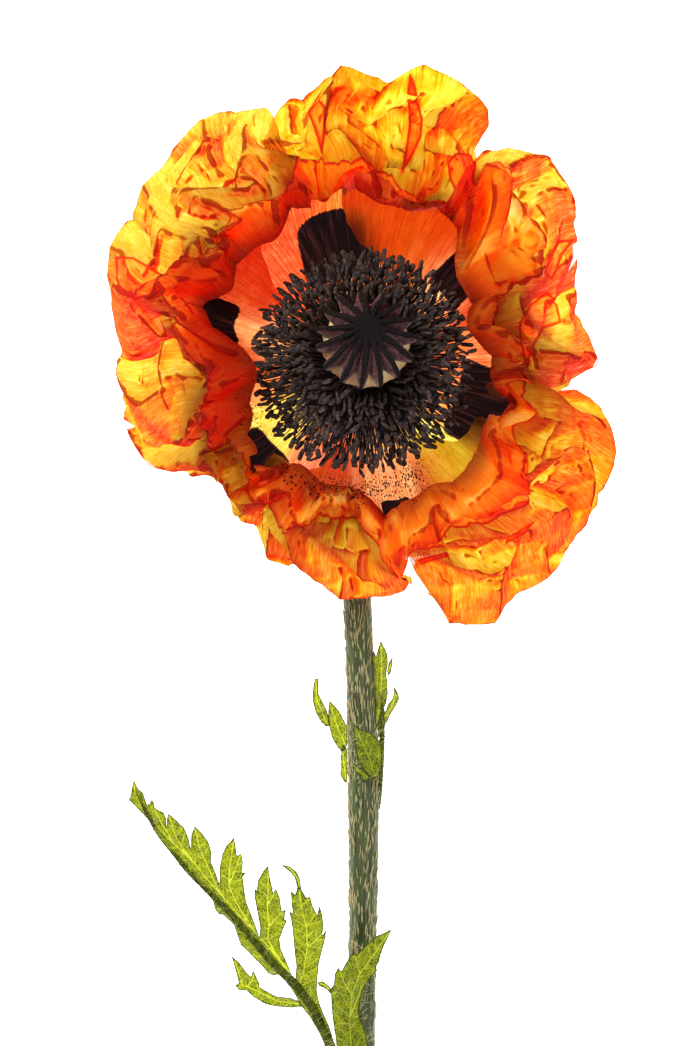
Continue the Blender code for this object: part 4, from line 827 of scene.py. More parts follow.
def narrow_bend(points, normal):
    """How sharply the sheet bends at each point, without its broad swells; more than nothing in a crease."""
    bend = np.zeros(points.shape[:2])
    for axis in (0, 1):
        step = np.gradient(points, axis=axis)
        size = np.linalg.norm(step, axis=-1) + 1e-6
        second = np.roll(points, 1, axis) + np.roll(points, -1, axis) - 2.0 * points
        turn_here = np.einsum("ijk,ijk->ij", second, normal) / size
        cut = [slice(None), slice(None)]
        for end in (0, -1):
            cut[axis] = end
            turn_here[tuple(cut)] = 0.0
        bend += turn_here * np.minimum(size, SHEET_STEP) / SHEET_STEP
    broad, line = bend.copy(), bend.copy()
    for axis in (0, 1):
        broad = sum(np.roll(broad, k, axis) for k in range(-4, 5)) / 9.0
        line = 0.25 * np.roll(line, 1, axis) + 0.5 * line + 0.25 * np.roll(line, -1, axis)
    return np.clip(1.5 * (line - 0.8 * broad).ravel(), -1.0, 1.0)


def petal_colour(points, degrees, t, to_edge, own, flat_radius, whorl):
    """Colours of light through the tissue in the band and in its doubled ring, with painted light and shade
    on its facets.

    With them go three measures that the finish draws its sharp lines from: how narrow a bend is, how far
    inside the ring a point is, and how far inside a dried bit.
    """
    along, across = np.gradient(points, axis=0), np.gradient(points, axis=1)
    normal = unit(np.cross(across, along))
    flat = np.abs(normal[..., 2]).ravel()
    x, y = points[..., 0].ravel(), points[..., 1].ravel()
    band = smoothstep((t - BAND_FROM) / 0.08)
    # painted shade where the sheet stands at a slant, and painted light and shade on the facets by how they
    # face a fixed light from the upper left
    depth = -0.10 + 0.32 * (1.0 / np.maximum(flat, 0.30) - 1.0)
    outward = np.stack([x, y, 0.0 * x], axis=-1) / np.hypot(x, y)[:, None]
    painted_light_from = np.array((-0.50, 0.62, 0.0))
    painted_light_and_shade = (normal * np.sign(normal[..., 2:])).reshape(-1, 3) @ painted_light_from - 0.35 * outward @ painted_light_from
    flat_place = points[..., :2].reshape(-1, 2)
    in_fold = within(flat_place, FOLDED)
    in_ring = inner_margin(degrees, -whorl) - flat_radius
    in_ring = in_ring * own + 4.0 * (1.0 - own) if whorl > 0 else in_ring
    in_ring = np.clip(np.maximum(in_ring, in_fold) * band + 4.0 * (1.0 - band), -4.0, 4.0)
    depth += 0.5 * band * smoothstep(in_fold + 0.5)
    depth += 0.16 * value_noise(x / 6.0, y / 6.0, 91) + 0.08 * value_noise(x / 1.6, y / 1.6, 92)
    depth += (1.0 - band) * ((1.25 if whorl < 0 else 0.6) * round_the_flower(CUP_DEPTH, degrees) - 0.15)
    rim = np.exp(-np.maximum(to_edge, 0.0) / 0.55)
    depth += 0.7 * rim
    brown = (0.45 * rim)[:, None] * np.array((0.55, 0.45, 0.2))
    root = smoothstep((19.0 - np.hypot(x, y) + 1.5 * value_noise(degrees / 3.0, 0.0 * x, 93)) / 3.0)[:, None]
    low = 0.5 - 0.5 * np.sin(np.radians(degrees))
    # pink towards the cup, for the under whorl more on the bloom's lower side: the tissue's own pink base
    # with a painted sheen of the light from above
    pink_and_sheen = (1.0 - 0.8 * band) * (0.085 if whorl > 0 else 0.012 + 0.05 * low)
    pink_and_sheen = pink_and_sheen[:, None] * np.array((0.0, 0.2, 1.0))
    depth += band * round_the_flower(BAND_DEPTH, degrees)
    doubled = round_the_flower(DOUBLED, degrees)
    colours = []
    # for the band and for the ring: how much the painted light and shade deepen it, a shift, its least depth,
    # and its red
    for painted_shade_strength, shift, least, red in ((2.1, 0.0, -0.25, 0.70), (1.1, 0.18 - 0.6 * doubled, -0.55, 1.0)):
        deep = np.maximum(depth - band * (painted_shade_strength * painted_light_and_shade - shift), least)
        colour = THROUGH[None] ** (1.0 + deep)[:, None]
        colour[:, 0] *= 0.95 ** np.maximum(deep, 0.0) * (red * band + 0.62 * (1.0 - band))
        colours.append(colour * (1.0 - brown) * (1.0 - 0.97 * root) + 0.004 * root + pink_and_sheen)
    dried = np.clip(within(flat_place, DRIED), -2.0, 2.0)
    return colours, narrow_bend(points, normal) * band, in_ring, dried


def pollen_dusting(degrees, radius):
    """How thickly fallen pollen lies in the cup."""
    dust = np.zeros_like(degrees)
    for angle, far, spread, wide, much in POLLEN:
        off = (degrees - angle + 180.0) % 360.0 - 180.0
        dust += much * np.exp(-(off / spread)**2 - ((radius - far) / wide)**2)
    return np.minimum(dust, 1.0)


def petal_finish():
    n = Nodes("petal_tissue")
    grain = n.layer("grain").outputs["Vector"]
    fibres = n.noise(n.stretched(grain, (4.4, 0.24, 1.0)), 1.0, 4.0, 0.7)
    veins = n.noise(n.stretched(grain, (1.5, 0.06, 1.0)), 1.0, 2.0, 0.5)
    cloud = n.noise(n.stretched(grain, (0.35, 0.35, 1.0)), 1.0, 4.0, 0.6)
    thick = n.math("ADD", n.spread(fibres, 0.30, 0.70, -0.26, 0.34), n.spread(veins, 0.35, 0.65, -0.12, 0.16))
    thick = n.math("ADD", thick, n.spread(cloud, 0.3, 0.7, 0.90, 1.12))
    # the doubled, redder ring inside the yellow band, with a dark line along its margin
    side = n.layer("in_ring").outputs["Fac"]
    ringed = n.spread(side, -0.12, 0.12)
    line = n.math("MULTIPLY", n.spread(side, -0.10, 0.10), n.spread(side, 0.25, 0.85, 1.0, 0.0))
    tint = n.blend(ringed, n.layer("tint").outputs["Vector"], n.layer("ring_tint").outputs["Vector"])
    # creases: painted shade, partly the doubled tissue of the fold; dark where the sheet is pinched and a
    # little darker along their backs
    crease = n.layer("crease").outputs["Fac"]
    crease_shade = n.spread(crease, 0.20, 0.50)
    crease_back_shade = n.spread(crease, -0.45, -0.14, 0.35, 0.0)
    # the ring's margin line and the painted crease shade deepen the colour together
    doubled = n.math("MULTIPLY", n.math("ADD", line, crease_shade), 1.3)
    thick = n.math("ADD", thick, n.math("ADD", doubled, crease_back_shade))
    through = n.add("Gamma", {"Color": tint, "Gamma": thick}).outputs[0]
    # the painted crease shade and the ring's margin line blend towards dark red
    mark = n.math("MULTIPLY", n.math("MAXIMUM", line, crease_shade), 0.6)
    through = n.blend(mark, through, (0.30, 0.014, 0.002, 1))
    white = n.spread(n.layer("dried").outputs["Fac"], -0.1, 0.1, 0.0, 0.9)
    through = n.blend(white, through, n.blend(fibres, (0.62, 0.36, 0.33, 1), (0.98, 0.84, 0.82, 1)))
    # dark blotch with frayed sides and maroon streaks
    frayed = n.math("ADD", n.layer("blotch").outputs["Fac"], n.spread(fibres, 0.3, 0.7, -0.12, 0.12))
    dark = n.spread(frayed, -0.05, 0.12)
    streak = n.noise(n.stretched(grain, (1.1, 0.06, 1.0)), 1.0, 3.0, 0.6)
    ink = n.blend(n.spread(streak, 0.50, 0.72), (0.004, 0.002, 0.002, 1), (0.030, 0.007, 0.007, 1))
    through = n.blend(dark, through, ink)
    # specks of fallen pollen
    cells = n.add("TexVoronoi", {"Vector": grain, "Scale": 1.25, "Randomness": 1.0}, voronoi_dimensions="2D")
    lot = n.add("SeparateColor", {"Color": cells.outputs["Color"]}).outputs[0]
    scarce = n.math("SUBTRACT", n.layer("pollen").outputs["Fac"], 1.0)
    size = n.math("MULTIPLY", n.math("ADD", lot, scarce), 0.55)
    speck = n.spread(n.math("SUBTRACT", size, cells.outputs["Distance"]), -0.02, 0.06)
    through = n.blend(speck, through, (0.012, 0.008, 0.007, 1))
    skin = n.blend(n.math("MULTIPLY", dark, 0.97), n.blend(0.6, through, (0.90, 0.22, 0.11, 1)), ink)
    lift = n.math("ADD", n.math("MULTIPLY", fibres, 0.6), veins)
    normal = n.bump(lift, 0.45, 0.00022)
    front = n.add("BsdfPrincipled", {"Base Color": skin, "Roughness": 0.55, "Specular IOR Level": 0.22,
                                     "Normal": normal})
    back = n.add("BsdfTranslucent", {"Color": through, "Normal": normal})
    let_through = n.spread(side, -0.3, 0.3, 0.96, 0.95)
    return n.surface(n.add("MixShader", {0: let_through, 1: front.outputs[0], 2: back.outputs[0]}).outputs[0])


tissue = petal_finish()
ring = gathered_ring()
for name, middle, whorl, owned, (spot, half_width, start, end) in PETALS:
    points, degrees, t, path, to_edge, own, flat_radius = petal_sheet(ring, middle, whorl, owned)
    colours, bend, in_ring, dried = petal_colour(points, degrees, t, to_edge, own, flat_radius, whorl)
    flat_points = points.reshape(-1, 3)
    radius = np.hypot(flat_points[:, 0], flat_points[:, 1])
    aside = np.radians(degrees - spot) * np.minimum(radius, 44.0)
    level = (t - 0.5 * (start + end)) / (0.5 * (end - start))
    blotch = 1.0 - np.abs(aside / half_width)**4 - np.abs(level)**6
    grain = np.stack([np.radians(degrees - middle) * 46.0 + 7.0 * middle, path, 0.0 * path], axis=-1)
    rows, columns = points.shape[:2]
    i, j = np.meshgrid(np.arange(rows - 1), np.arange(columns - 1), indexing="ij")
    a = (i * columns + j).ravel()
    faces = np.stack([a, a + 1, a + columns + 1, a + columns], axis=-1).tolist()
    make_piece(name + "_tissue", flat_points, faces, tissue, name, "petal_orange", sharp=16.0,
               tint=colours[0], ring_tint=colours[1], in_ring=in_ring, crease=bend, dried=dried, grain=grain,
               blotch=np.clip(blotch, -1.0, 1.0), pollen=pollen_dusting(degrees, radius) * (t < 0.72))

# ---------------------------------------------------------------------------------------------------
# Capsule: the pale, ribbed seed case in the middle of the cup. It stands on the receptacle, leans
# towards the top of the bloom, and shows only under the scalloped rim of its disc.

CAPSULE_TILT = math.radians(15.5)
CAPSULE_SEAT_Z = 25.95
CAPSULE_HEIGHT = 20.0
# Radius and height down its wall, from the top to the foot
CAPSULE_PROFILE = [
    (0.0, 20.0), (2.6, 19.5), (5.0, 18.8), (8.6, 17.4), (10.0, 16.4), (10.5, 14.6), (10.3, 12.0),
    (8.82, 9.0), (7.25, 6.2), (5.3, 3.8), (3.7, 2.0), (2.94, 0.9), (1.76, 0.25), (0.0, 0.0),
]
CAPSULE_RINGS, CAPSULE_SIDES = 90, 180
RAYS = 15  # ribs on the wall and rays on the disc


def leaning(points):
    """Carry points from the capsule's own upright frame to where it leans."""
    turn = np.array(Matrix.Rotation(-CAPSULE_TILT, 3, "X"))
    return points @ turn.T + np.array((0.6, 0.0, CAPSULE_SEAT_Z))


def capsule_finish():
    n = Nodes("capsule_skin")
    place = n.layer("grain").outputs["Vector"]
    mottle = n.noise(n.stretched(place, (0.8, 0.35, 1.0)), 1.0, 4.0)
    fine = n.noise(n.stretched(place, (4.0, 2.0, 1.0)), 1.0, 3.0)
    up = n.add("SeparateXYZ", {0: place}).outputs[1]
    cream = n.blend(n.spread(mottle, 0.35, 0.65), (0.86, 0.60, 0.23, 1), (0.92, 0.76, 0.42, 1))
    ribbed = n.spread(n.layer("rib").outputs["Fac"], 0.45, 1.0, 0.0, 0.8)
    cream = n.blend(ribbed, cream, (0.42, 0.27, 0.12, 1))
    cream = n.blend(n.spread(up, 12.0, 4.0, 0.0, 0.7), cream, (0.35, 0.36, 0.12, 1))
    cream = n.blend(n.spread(fine, 0.55, 0.75, 0.0, 0.35), cream, (0.45, 0.33, 0.20, 1))
    skin = n.add("BsdfPrincipled", {"Base Color": cream, "Roughness": 0.45, "Subsurface Weight": 0.15,
                                    "Subsurface Scale": 0.002, "Normal": n.bump(fine, 0.4, 0.0002)})
    return n.surface(skin.outputs[0])


profile = np.array(CAPSULE_PROFILE)
run = travel_along(profile)
even = np.linspace(0.0, run[-1], CAPSULE_RINGS)
wall_r, wall_h = np.interp(even, run, profile[:, 0]), np.interp(even, run, profile[:, 1])
for _ in range(6):  # round the wall off
    wall_r[1:-1] = 0.25 * wall_r[:-2] + 0.5 * wall_r[1:-1] + 0.25 * wall_r[2:]
turn = 2.0 * math.pi * np.arange(CAPSULE_SIDES) / CAPSULE_SIDES
rib = (0.5 + 0.5 * np.cos(RAYS * turn))[None] ** 2 * smoothstep((wall_h - 5.0) / 8.0)[:, None]
swell = wall_r[:, None] * (0.975 + 0.045 * rib)
points = np.stack([swell * np.cos(turn), swell * np.sin(turn), wall_h[:, None] + 0.0 * swell], axis=-1)
grain = np.stack(np.broadcast_arrays(turn[None] * 9.0, wall_h[:, None], 0.0), axis=-1)
make_piece("capsule_wall", leaning(points.reshape(-1, 3)), ring_faces(CAPSULE_RINGS, CAPSULE_SIDES),
           capsule_finish(), "capsule", "capsule_cream", grain=grain.reshape(-1, 3), rib=rib.ravel())

# ---------------------------------------------------------------------------------------------------
# Stigma disc: the cap on the capsule. Fifteen double, velvety dark rays run down from its point to
# the teeth of the rim, over thin mauve-brown membrane that is scalloped between them.

DISC_RADIUS = 10.5
DISC_TOOTH = 1.9
POINT_ASIDE = (1.0, 2.6)
DISC_RINGS, DISC_SPOKES = 46, 480


def disc_finish():
    n = Nodes("stigma_plush")
    ray = n.layer("ray").outputs["Fac"]
    place = n.add("TexCoord").outputs["Object"]
    pile = n.noise(place, 2600.0, 3.0, 0.7)
    tufts = n.noise(place, 900.0, 4.0, 0.7)
    web = n.blend(n.spread(tufts, 0.32, 0.68), (0.060, 0.022, 0.026, 1), (0.185, 0.085, 0.085, 1))
    plush = n.blend(n.spread(pile, 0.35, 0.70), (0.003, 0.002, 0.002, 1), (0.026, 0.017, 0.018, 1))
    frayed = n.math("ADD", ray, n.spread(tufts, 0.3, 0.7, -0.15, 0.15))
    colour = n.blend(n.spread(frayed, 0.35, 0.55), web, plush)
    colour = n.blend(n.layer("middle").outputs["Fac"], colour, (0.006, 0.004, 0.004, 1))
    colour = n.blend(n.layer("pale").outputs["Fac"], colour, (0.24, 0.17, 0.13, 1))
    skin = n.add("BsdfPrincipled", {"Base Color": colour, "Roughness": 0.85, "Specular IOR Level": 0.2,
                                    "Normal": n.bump(pile, 0.8, 0.00035)})
    return n.surface(skin.outputs[0])


def disc_sheet(top):
    """Points of the disc's upper or under side, and how far each is ray, pale rim and dark middle."""
    share, turn = np.meshgrid(np.linspace(0.0, 1.0, DISC_RINGS),
                              2.0 * math.pi * np.arange(DISC_SPOKES) / DISC_SPOKES, indexing="ij")
    waver = turn + 0.035 * np.sin(3 * turn + 5 * share) + 0.03 * value_noise(share * 5.0, turn * 2.4, 8)
    lobe = 0.5 + 0.5 * np.cos(RAYS * waver)
    rim = DISC_RADIUS + DISC_TOOTH * (2.0 * lobe**0.8 - 1.0) + 0.25 * value_noise(turn * 6.0, share * 0.0, 9)
    radius = share * rim
    off = (RAYS * waver / (2.0 * math.pi) + 0.5) % 1.0 - 0.5  # -0.5 to 0.5 between two furrows
    aside = np.abs(off) * 2.0 * math.pi * np.maximum(radius, 0.6) / RAYS
    half = 0.55 + 0.42 * (1.0 - share) + 0.12 * value_noise(share * 9.0, turn * 8.0, 10)
    ray = smoothstep((half - aside) / 0.25 + 0.5)
    double = 1.0 - 0.35 * np.exp(-(aside / 0.16)**2) * smoothstep(share / 0.3)
    height = CAPSULE_HEIGHT + 0.75 + 2.4 * (1.0 - share)**1.3 - 2.5 * share**2
    sag = -0.35 * (1.0 - lobe) * share
    lumps = 0.10 * value_noise(radius * np.cos(turn) * 2.4, radius * np.sin(turn) * 2.4, 12) * ray
    height = height + sag + 0.62 * ray * double * np.minimum(1.0, 4.0 * share) + lumps
    height = height - 0.5 * smoothstep((share - 0.85) / 0.15) * ray
    if not top:
        height = CAPSULE_HEIGHT + 0.30 - 2.9 * share**1.3 - 0.25 * ray * share
    centre = 1.0 - share  # the disc's point stands a little aside
    points = np.stack([radius * np.cos(turn) + POINT_ASIDE[0] * centre,
                       radius * np.sin(turn) + POINT_ASIDE[1] * centre, height], axis=-1)
    edge = smoothstep((share - 0.965) / 0.035) * (1.0 - ray)
    middle = 0.9 * smoothstep((0.42 - share + 0.05 * value_noise(turn * 5.0, share * 6.0, 15)) / 0.22)
    return points.reshape(-1, 3), ray.ravel(), edge.ravel(), middle.ravel()


over, *over_layers = disc_sheet(True)
under, *under_layers = disc_sheet(False)
ray, pale, middle = (np.concatenate(pair) for pair in zip(over_layers, under_layers))
faces = [tuple(reversed(f)) for f in ring_faces(DISC_RINGS, DISC_SPOKES)]
faces += ring_faces(DISC_RINGS, DISC_SPOKES, len(over))
last = (DISC_RINGS - 1) * DISC_SPOKES
for k in range(DISC_SPOKES):
    n = (k + 1) % DISC_SPOKES
    faces.append((last + k, len(over) + last + k, len(over) + last + n, last + n))
make_piece("stigma_cap", leaning(np.concatenate([over, under])), faces, disc_finish(), "stigma_disc",
           "stigma_velvet", ray=ray, pale=pale, middle=middle)

# ---------------------------------------------------------------------------------------------------
# Stamens: some hundreds of thin dark filaments that grow from a ring round the capsule's foot, each
# with a long, grooved, purple-black anther dusted with pollen.

STAMEN_COUNT = 760
STAMEN_REACH = 26.6  # how far out the longest stand, apart from chance
FURTHEST = 27.0
INNER_REACH = 12.4  # how far out the shortest stand,
INNER_SHIFT = 3.6  # and how much further at the bloom's top, or less towards the stalk
STAMEN_TOP = 38.0  # height of the anthers nearest the capsule
STAMEN_FALL = 0.30  # how much lower they stand for each millimetre outwards
ROOT_RING = (6.2, 9.0)  # the filaments grow between these radii
RING_Z = 26.2
ANTHER_SHARES = np.array([-0.50, -0.46, -0.36, -0.12, 0.12, 0.36, 0.46, 0.50])
ANTHER_GIRTH = np.array([0.25, 0.62, 0.92, 1.0, 0.97, 0.95, 0.66, 0.25])
ANTHER_SIDES = 10
FILAMENT_SIDES = 5
FILAMENT_SHARES = np.linspace(0.0, 1.0, 8)
# Radius and height of the foot's section, above RING_Z
FOOT_SECTION = [(5.3, 0.0), (5.5, 1.2), (6.4, 1.8), (7.6, 1.8), (9.0, 1.3), (9.9, 0.1), (7.6, -0.1)]
FOOT_SIDES = 96


def anther_finish():
    n = Nodes("anther_dusted")
    place = n.add("TexCoord").outputs["Object"]
    dust = n.noise(place, 1500.0, 4.0, 0.7)
    grains = n.noise(place, 5200.0, 2.0, 0.6)
    groove = n.layer("groove").outputs["Fac"]
    body = n.blend(n.spread(dust, 0.33, 0.66), (0.006, 0.004, 0.004, 1), (0.150, 0.100, 0.084, 1))
    body = n.blend(n.spread(grains, 0.52, 0.72, 0.0, 0.4), body, (0.17, 0.125, 0.11, 1))
    darker = n.spread(n.layer("lot").outputs["Fac"], 0.0, 1.0, 0.0, 0.55)
    body = n.blend(darker, body, (0.014, 0.010, 0.011, 1))
    body = n.blend(groove, body, (0.008, 0.005, 0.006, 1))
    skin = n.add("BsdfPrincipled", {"Base Color": body, "Roughness": 0.75, "Specular IOR Level": 0.15,
                                    "Normal": n.bump(grains, 0.6, 0.0001)})
    return n.surface(skin.outputs[0])


chance = np.random.default_rng(12)
index = np.arange(STAMEN_COUNT)
angle = index * math.pi * (3.0 - math.sqrt(5.0))
share = (index + 0.5) / STAMEN_COUNT
inner = INNER_REACH + INNER_SHIFT * np.sin(angle)
tip_radius = np.sqrt(inner**2 + share * (STAMEN_REACH**2 - inner**2)) + chance.normal(0.0, 0.5, STAMEN_COUNT)
tip_radius = np.minimum(tip_radius, FURTHEST)
tip_height = STAMEN_TOP - STAMEN_FALL * (tip_radius - 10.0) + chance.normal(0.0, 1.0, STAMEN_COUNT)
outward = np.stack([np.cos(angle), np.sin(angle), 0.0 * angle], axis=-1)
swing = np.stack([-np.sin(angle), np.cos(angle), 0.0 * angle], axis=-1)
swing = swing * chance.normal(0.0, 0.36, STAMEN_COUNT)[:, None]
root_radius = np.sqrt(ROOT_RING[0]**2 + share * (ROOT_RING[1]**2 - ROOT_RING[0]**2))
root = outward * root_radius[:, None] + (0.0, 0.0, RING_Z + 0.5)
tip = outward * tip_radius[:, None] + tip_height[:, None] * np.array((0.0, 0.0, 1.0)) + 1.3 * swing
push = 0.45 + 0.75 * chance.random(STAMEN_COUNT) * (0.35 + 0.65 * share)
rear = 0.60 - 0.95 * chance.random(STAMEN_COUNT) * (0.4 + 0.6 * share)
heading = unit(outward * push[:, None] + 1.1 * swing + rear[:, None] * np.array((0.0, 0.0, 1.0)))
roll = chance.uniform(0.0, math.pi, STAMEN_COUNT)
long = chance.uniform(2.4, 3.7, STAMEN_COUNT)
girth = chance.uniform(0.54, 0.72, STAMEN_COUNT)
cross = unit(np.cross(heading, np.array((0.13, 0.21, 1.0))))
other = np.cross(heading, cross)
wide = np.cos(roll)[:, None] * cross + np.sin(roll)[:, None] * other
deep = -np.sin(roll)[:, None] * cross + np.cos(roll)[:, None] * other
phi = 2.0 * math.pi * np.arange(ANTHER_SIDES) / ANTHER_SIDES
lobes = 0.60 + 0.40 * np.abs(np.cos(phi))
bend = chance.normal(0.0, 0.25, STAMEN_COUNT)
body = []
for s, g in zip(ANTHER_SHARES, ANTHER_GIRTH):
    centre = tip + heading * (long * s)[:, None] + deep * (bend * (0.25 - s * s) * 1.6)[:, None]
    for k in range(ANTHER_SIDES):
        ring = np.cos(phi[k]) * wide * 1.05 + np.sin(phi[k]) * deep * 0.80
        body.append(centre + (girth * g * lobes[k])[:, None] * ring)
anther_points = np.stack(body, axis=1)
per_anther = anther_points.shape[1]
pattern = np.array(ring_faces(len(ANTHER_SHARES), ANTHER_SIDES))
faces = (pattern[None] + per_anther * index[:, None, None]).reshape(-1, 4).tolist()
for first in index * per_anther:
    faces += end_faces(len(ANTHER_SHARES), ANTHER_SIDES, int(first))
groove = np.tile(np.tile(smoothstep((0.72 - lobes) / 0.10), len(ANTHER_SHARES)), STAMEN_COUNT)
lot = np.repeat(chance.random(STAMEN_COUNT), per_anther)
heel = tip - heading * (0.47 * long)[:, None]
knee = root + (heel - root) * 0.45 + (0.0, 0.0, 3.0) + 1.0 * swing
threads = []
for s in FILAMENT_SHARES:
    centre = (1 - s)**2 * root + 2 * s * (1 - s) * knee + s**2 * heel
    thick = 0.26 - 0.09 * s
    for k in range(FILAMENT_SIDES):
        turn = 2.0 * math.pi * k / FILAMENT_SIDES
        threads.append(centre + thick * (math.cos(turn) * cross + math.sin(turn) * other))
thread_points = np.stack(threads, axis=1)
per_thread = thread_points.shape[1]
pattern = np.array(ring_faces(len(FILAMENT_SHARES), FILAMENT_SIDES, len(anther_points) * per_anther))
faces += (pattern[None] + per_thread * index[:, None, None]).reshape(-1, 4).tolist()
points = np.concatenate([anther_points.reshape(-1, 3), thread_points.reshape(-1, 3)])
rest = len(points) - len(groove)
stamen_skin = anther_finish()
make_piece("stamen_ring", points, faces, stamen_skin, "stamens", "stamen_black",
           groove=np.concatenate([groove, np.zeros(rest)]),
           lot=np.concatenate([lot, np.repeat(0.6 + 0.4 * chance.random(STAMEN_COUNT), per_thread)]))

collar = np.array(FOOT_SECTION)
turn = 2.0 * math.pi * np.arange(FOOT_SIDES) / FOOT_SIDES
bumpy = collar[:, :1] + 0.12 * np.cos(32 * turn)
points = np.stack(np.broadcast_arrays(bumpy * np.cos(turn), bumpy * np.sin(turn), RING_Z + collar[:, 1:]),
                  axis=-1).reshape(-1, 3)
make_piece("stamen_foot", points, ring_faces(len(collar), FOOT_SIDES), stamen_skin, None, "stamen_black",
           groove=np.full(len(points), 0.3), lot=np.full(len(points), 0.9))

# ---------------------------------------------------------------------------------------------------
# Large leaf: a cut leaf on a ribbed stalk. Its toothed lobes are thin and let the light through, with a
# pale midrib, side veins and a fine net between them, dark margins and long white bristles.

# The rib from its sheath on the stalk to its tip: x, y, z, radius
LARGE_RIB = [
    (-4.6, -184, 6.6, 1.3), (-6, -177, 6, 1.3), (-9, -169.3, 5.2, 1.25), (-12.5, -162, 4.6, 1.2),
    (-16.5, -156.3, 4.2, 1.1), (-23, -150, 3.8, 1), (-30.2, -141.5, 3.4, 0.9), (-37.3, -134, 3.2, 0.8),
    (-45.3, -125.8, 3.2, 0.65), (-54, -113.5, 3.6, 0.5), (-57.4, -106, 4.2, 0.4),
]
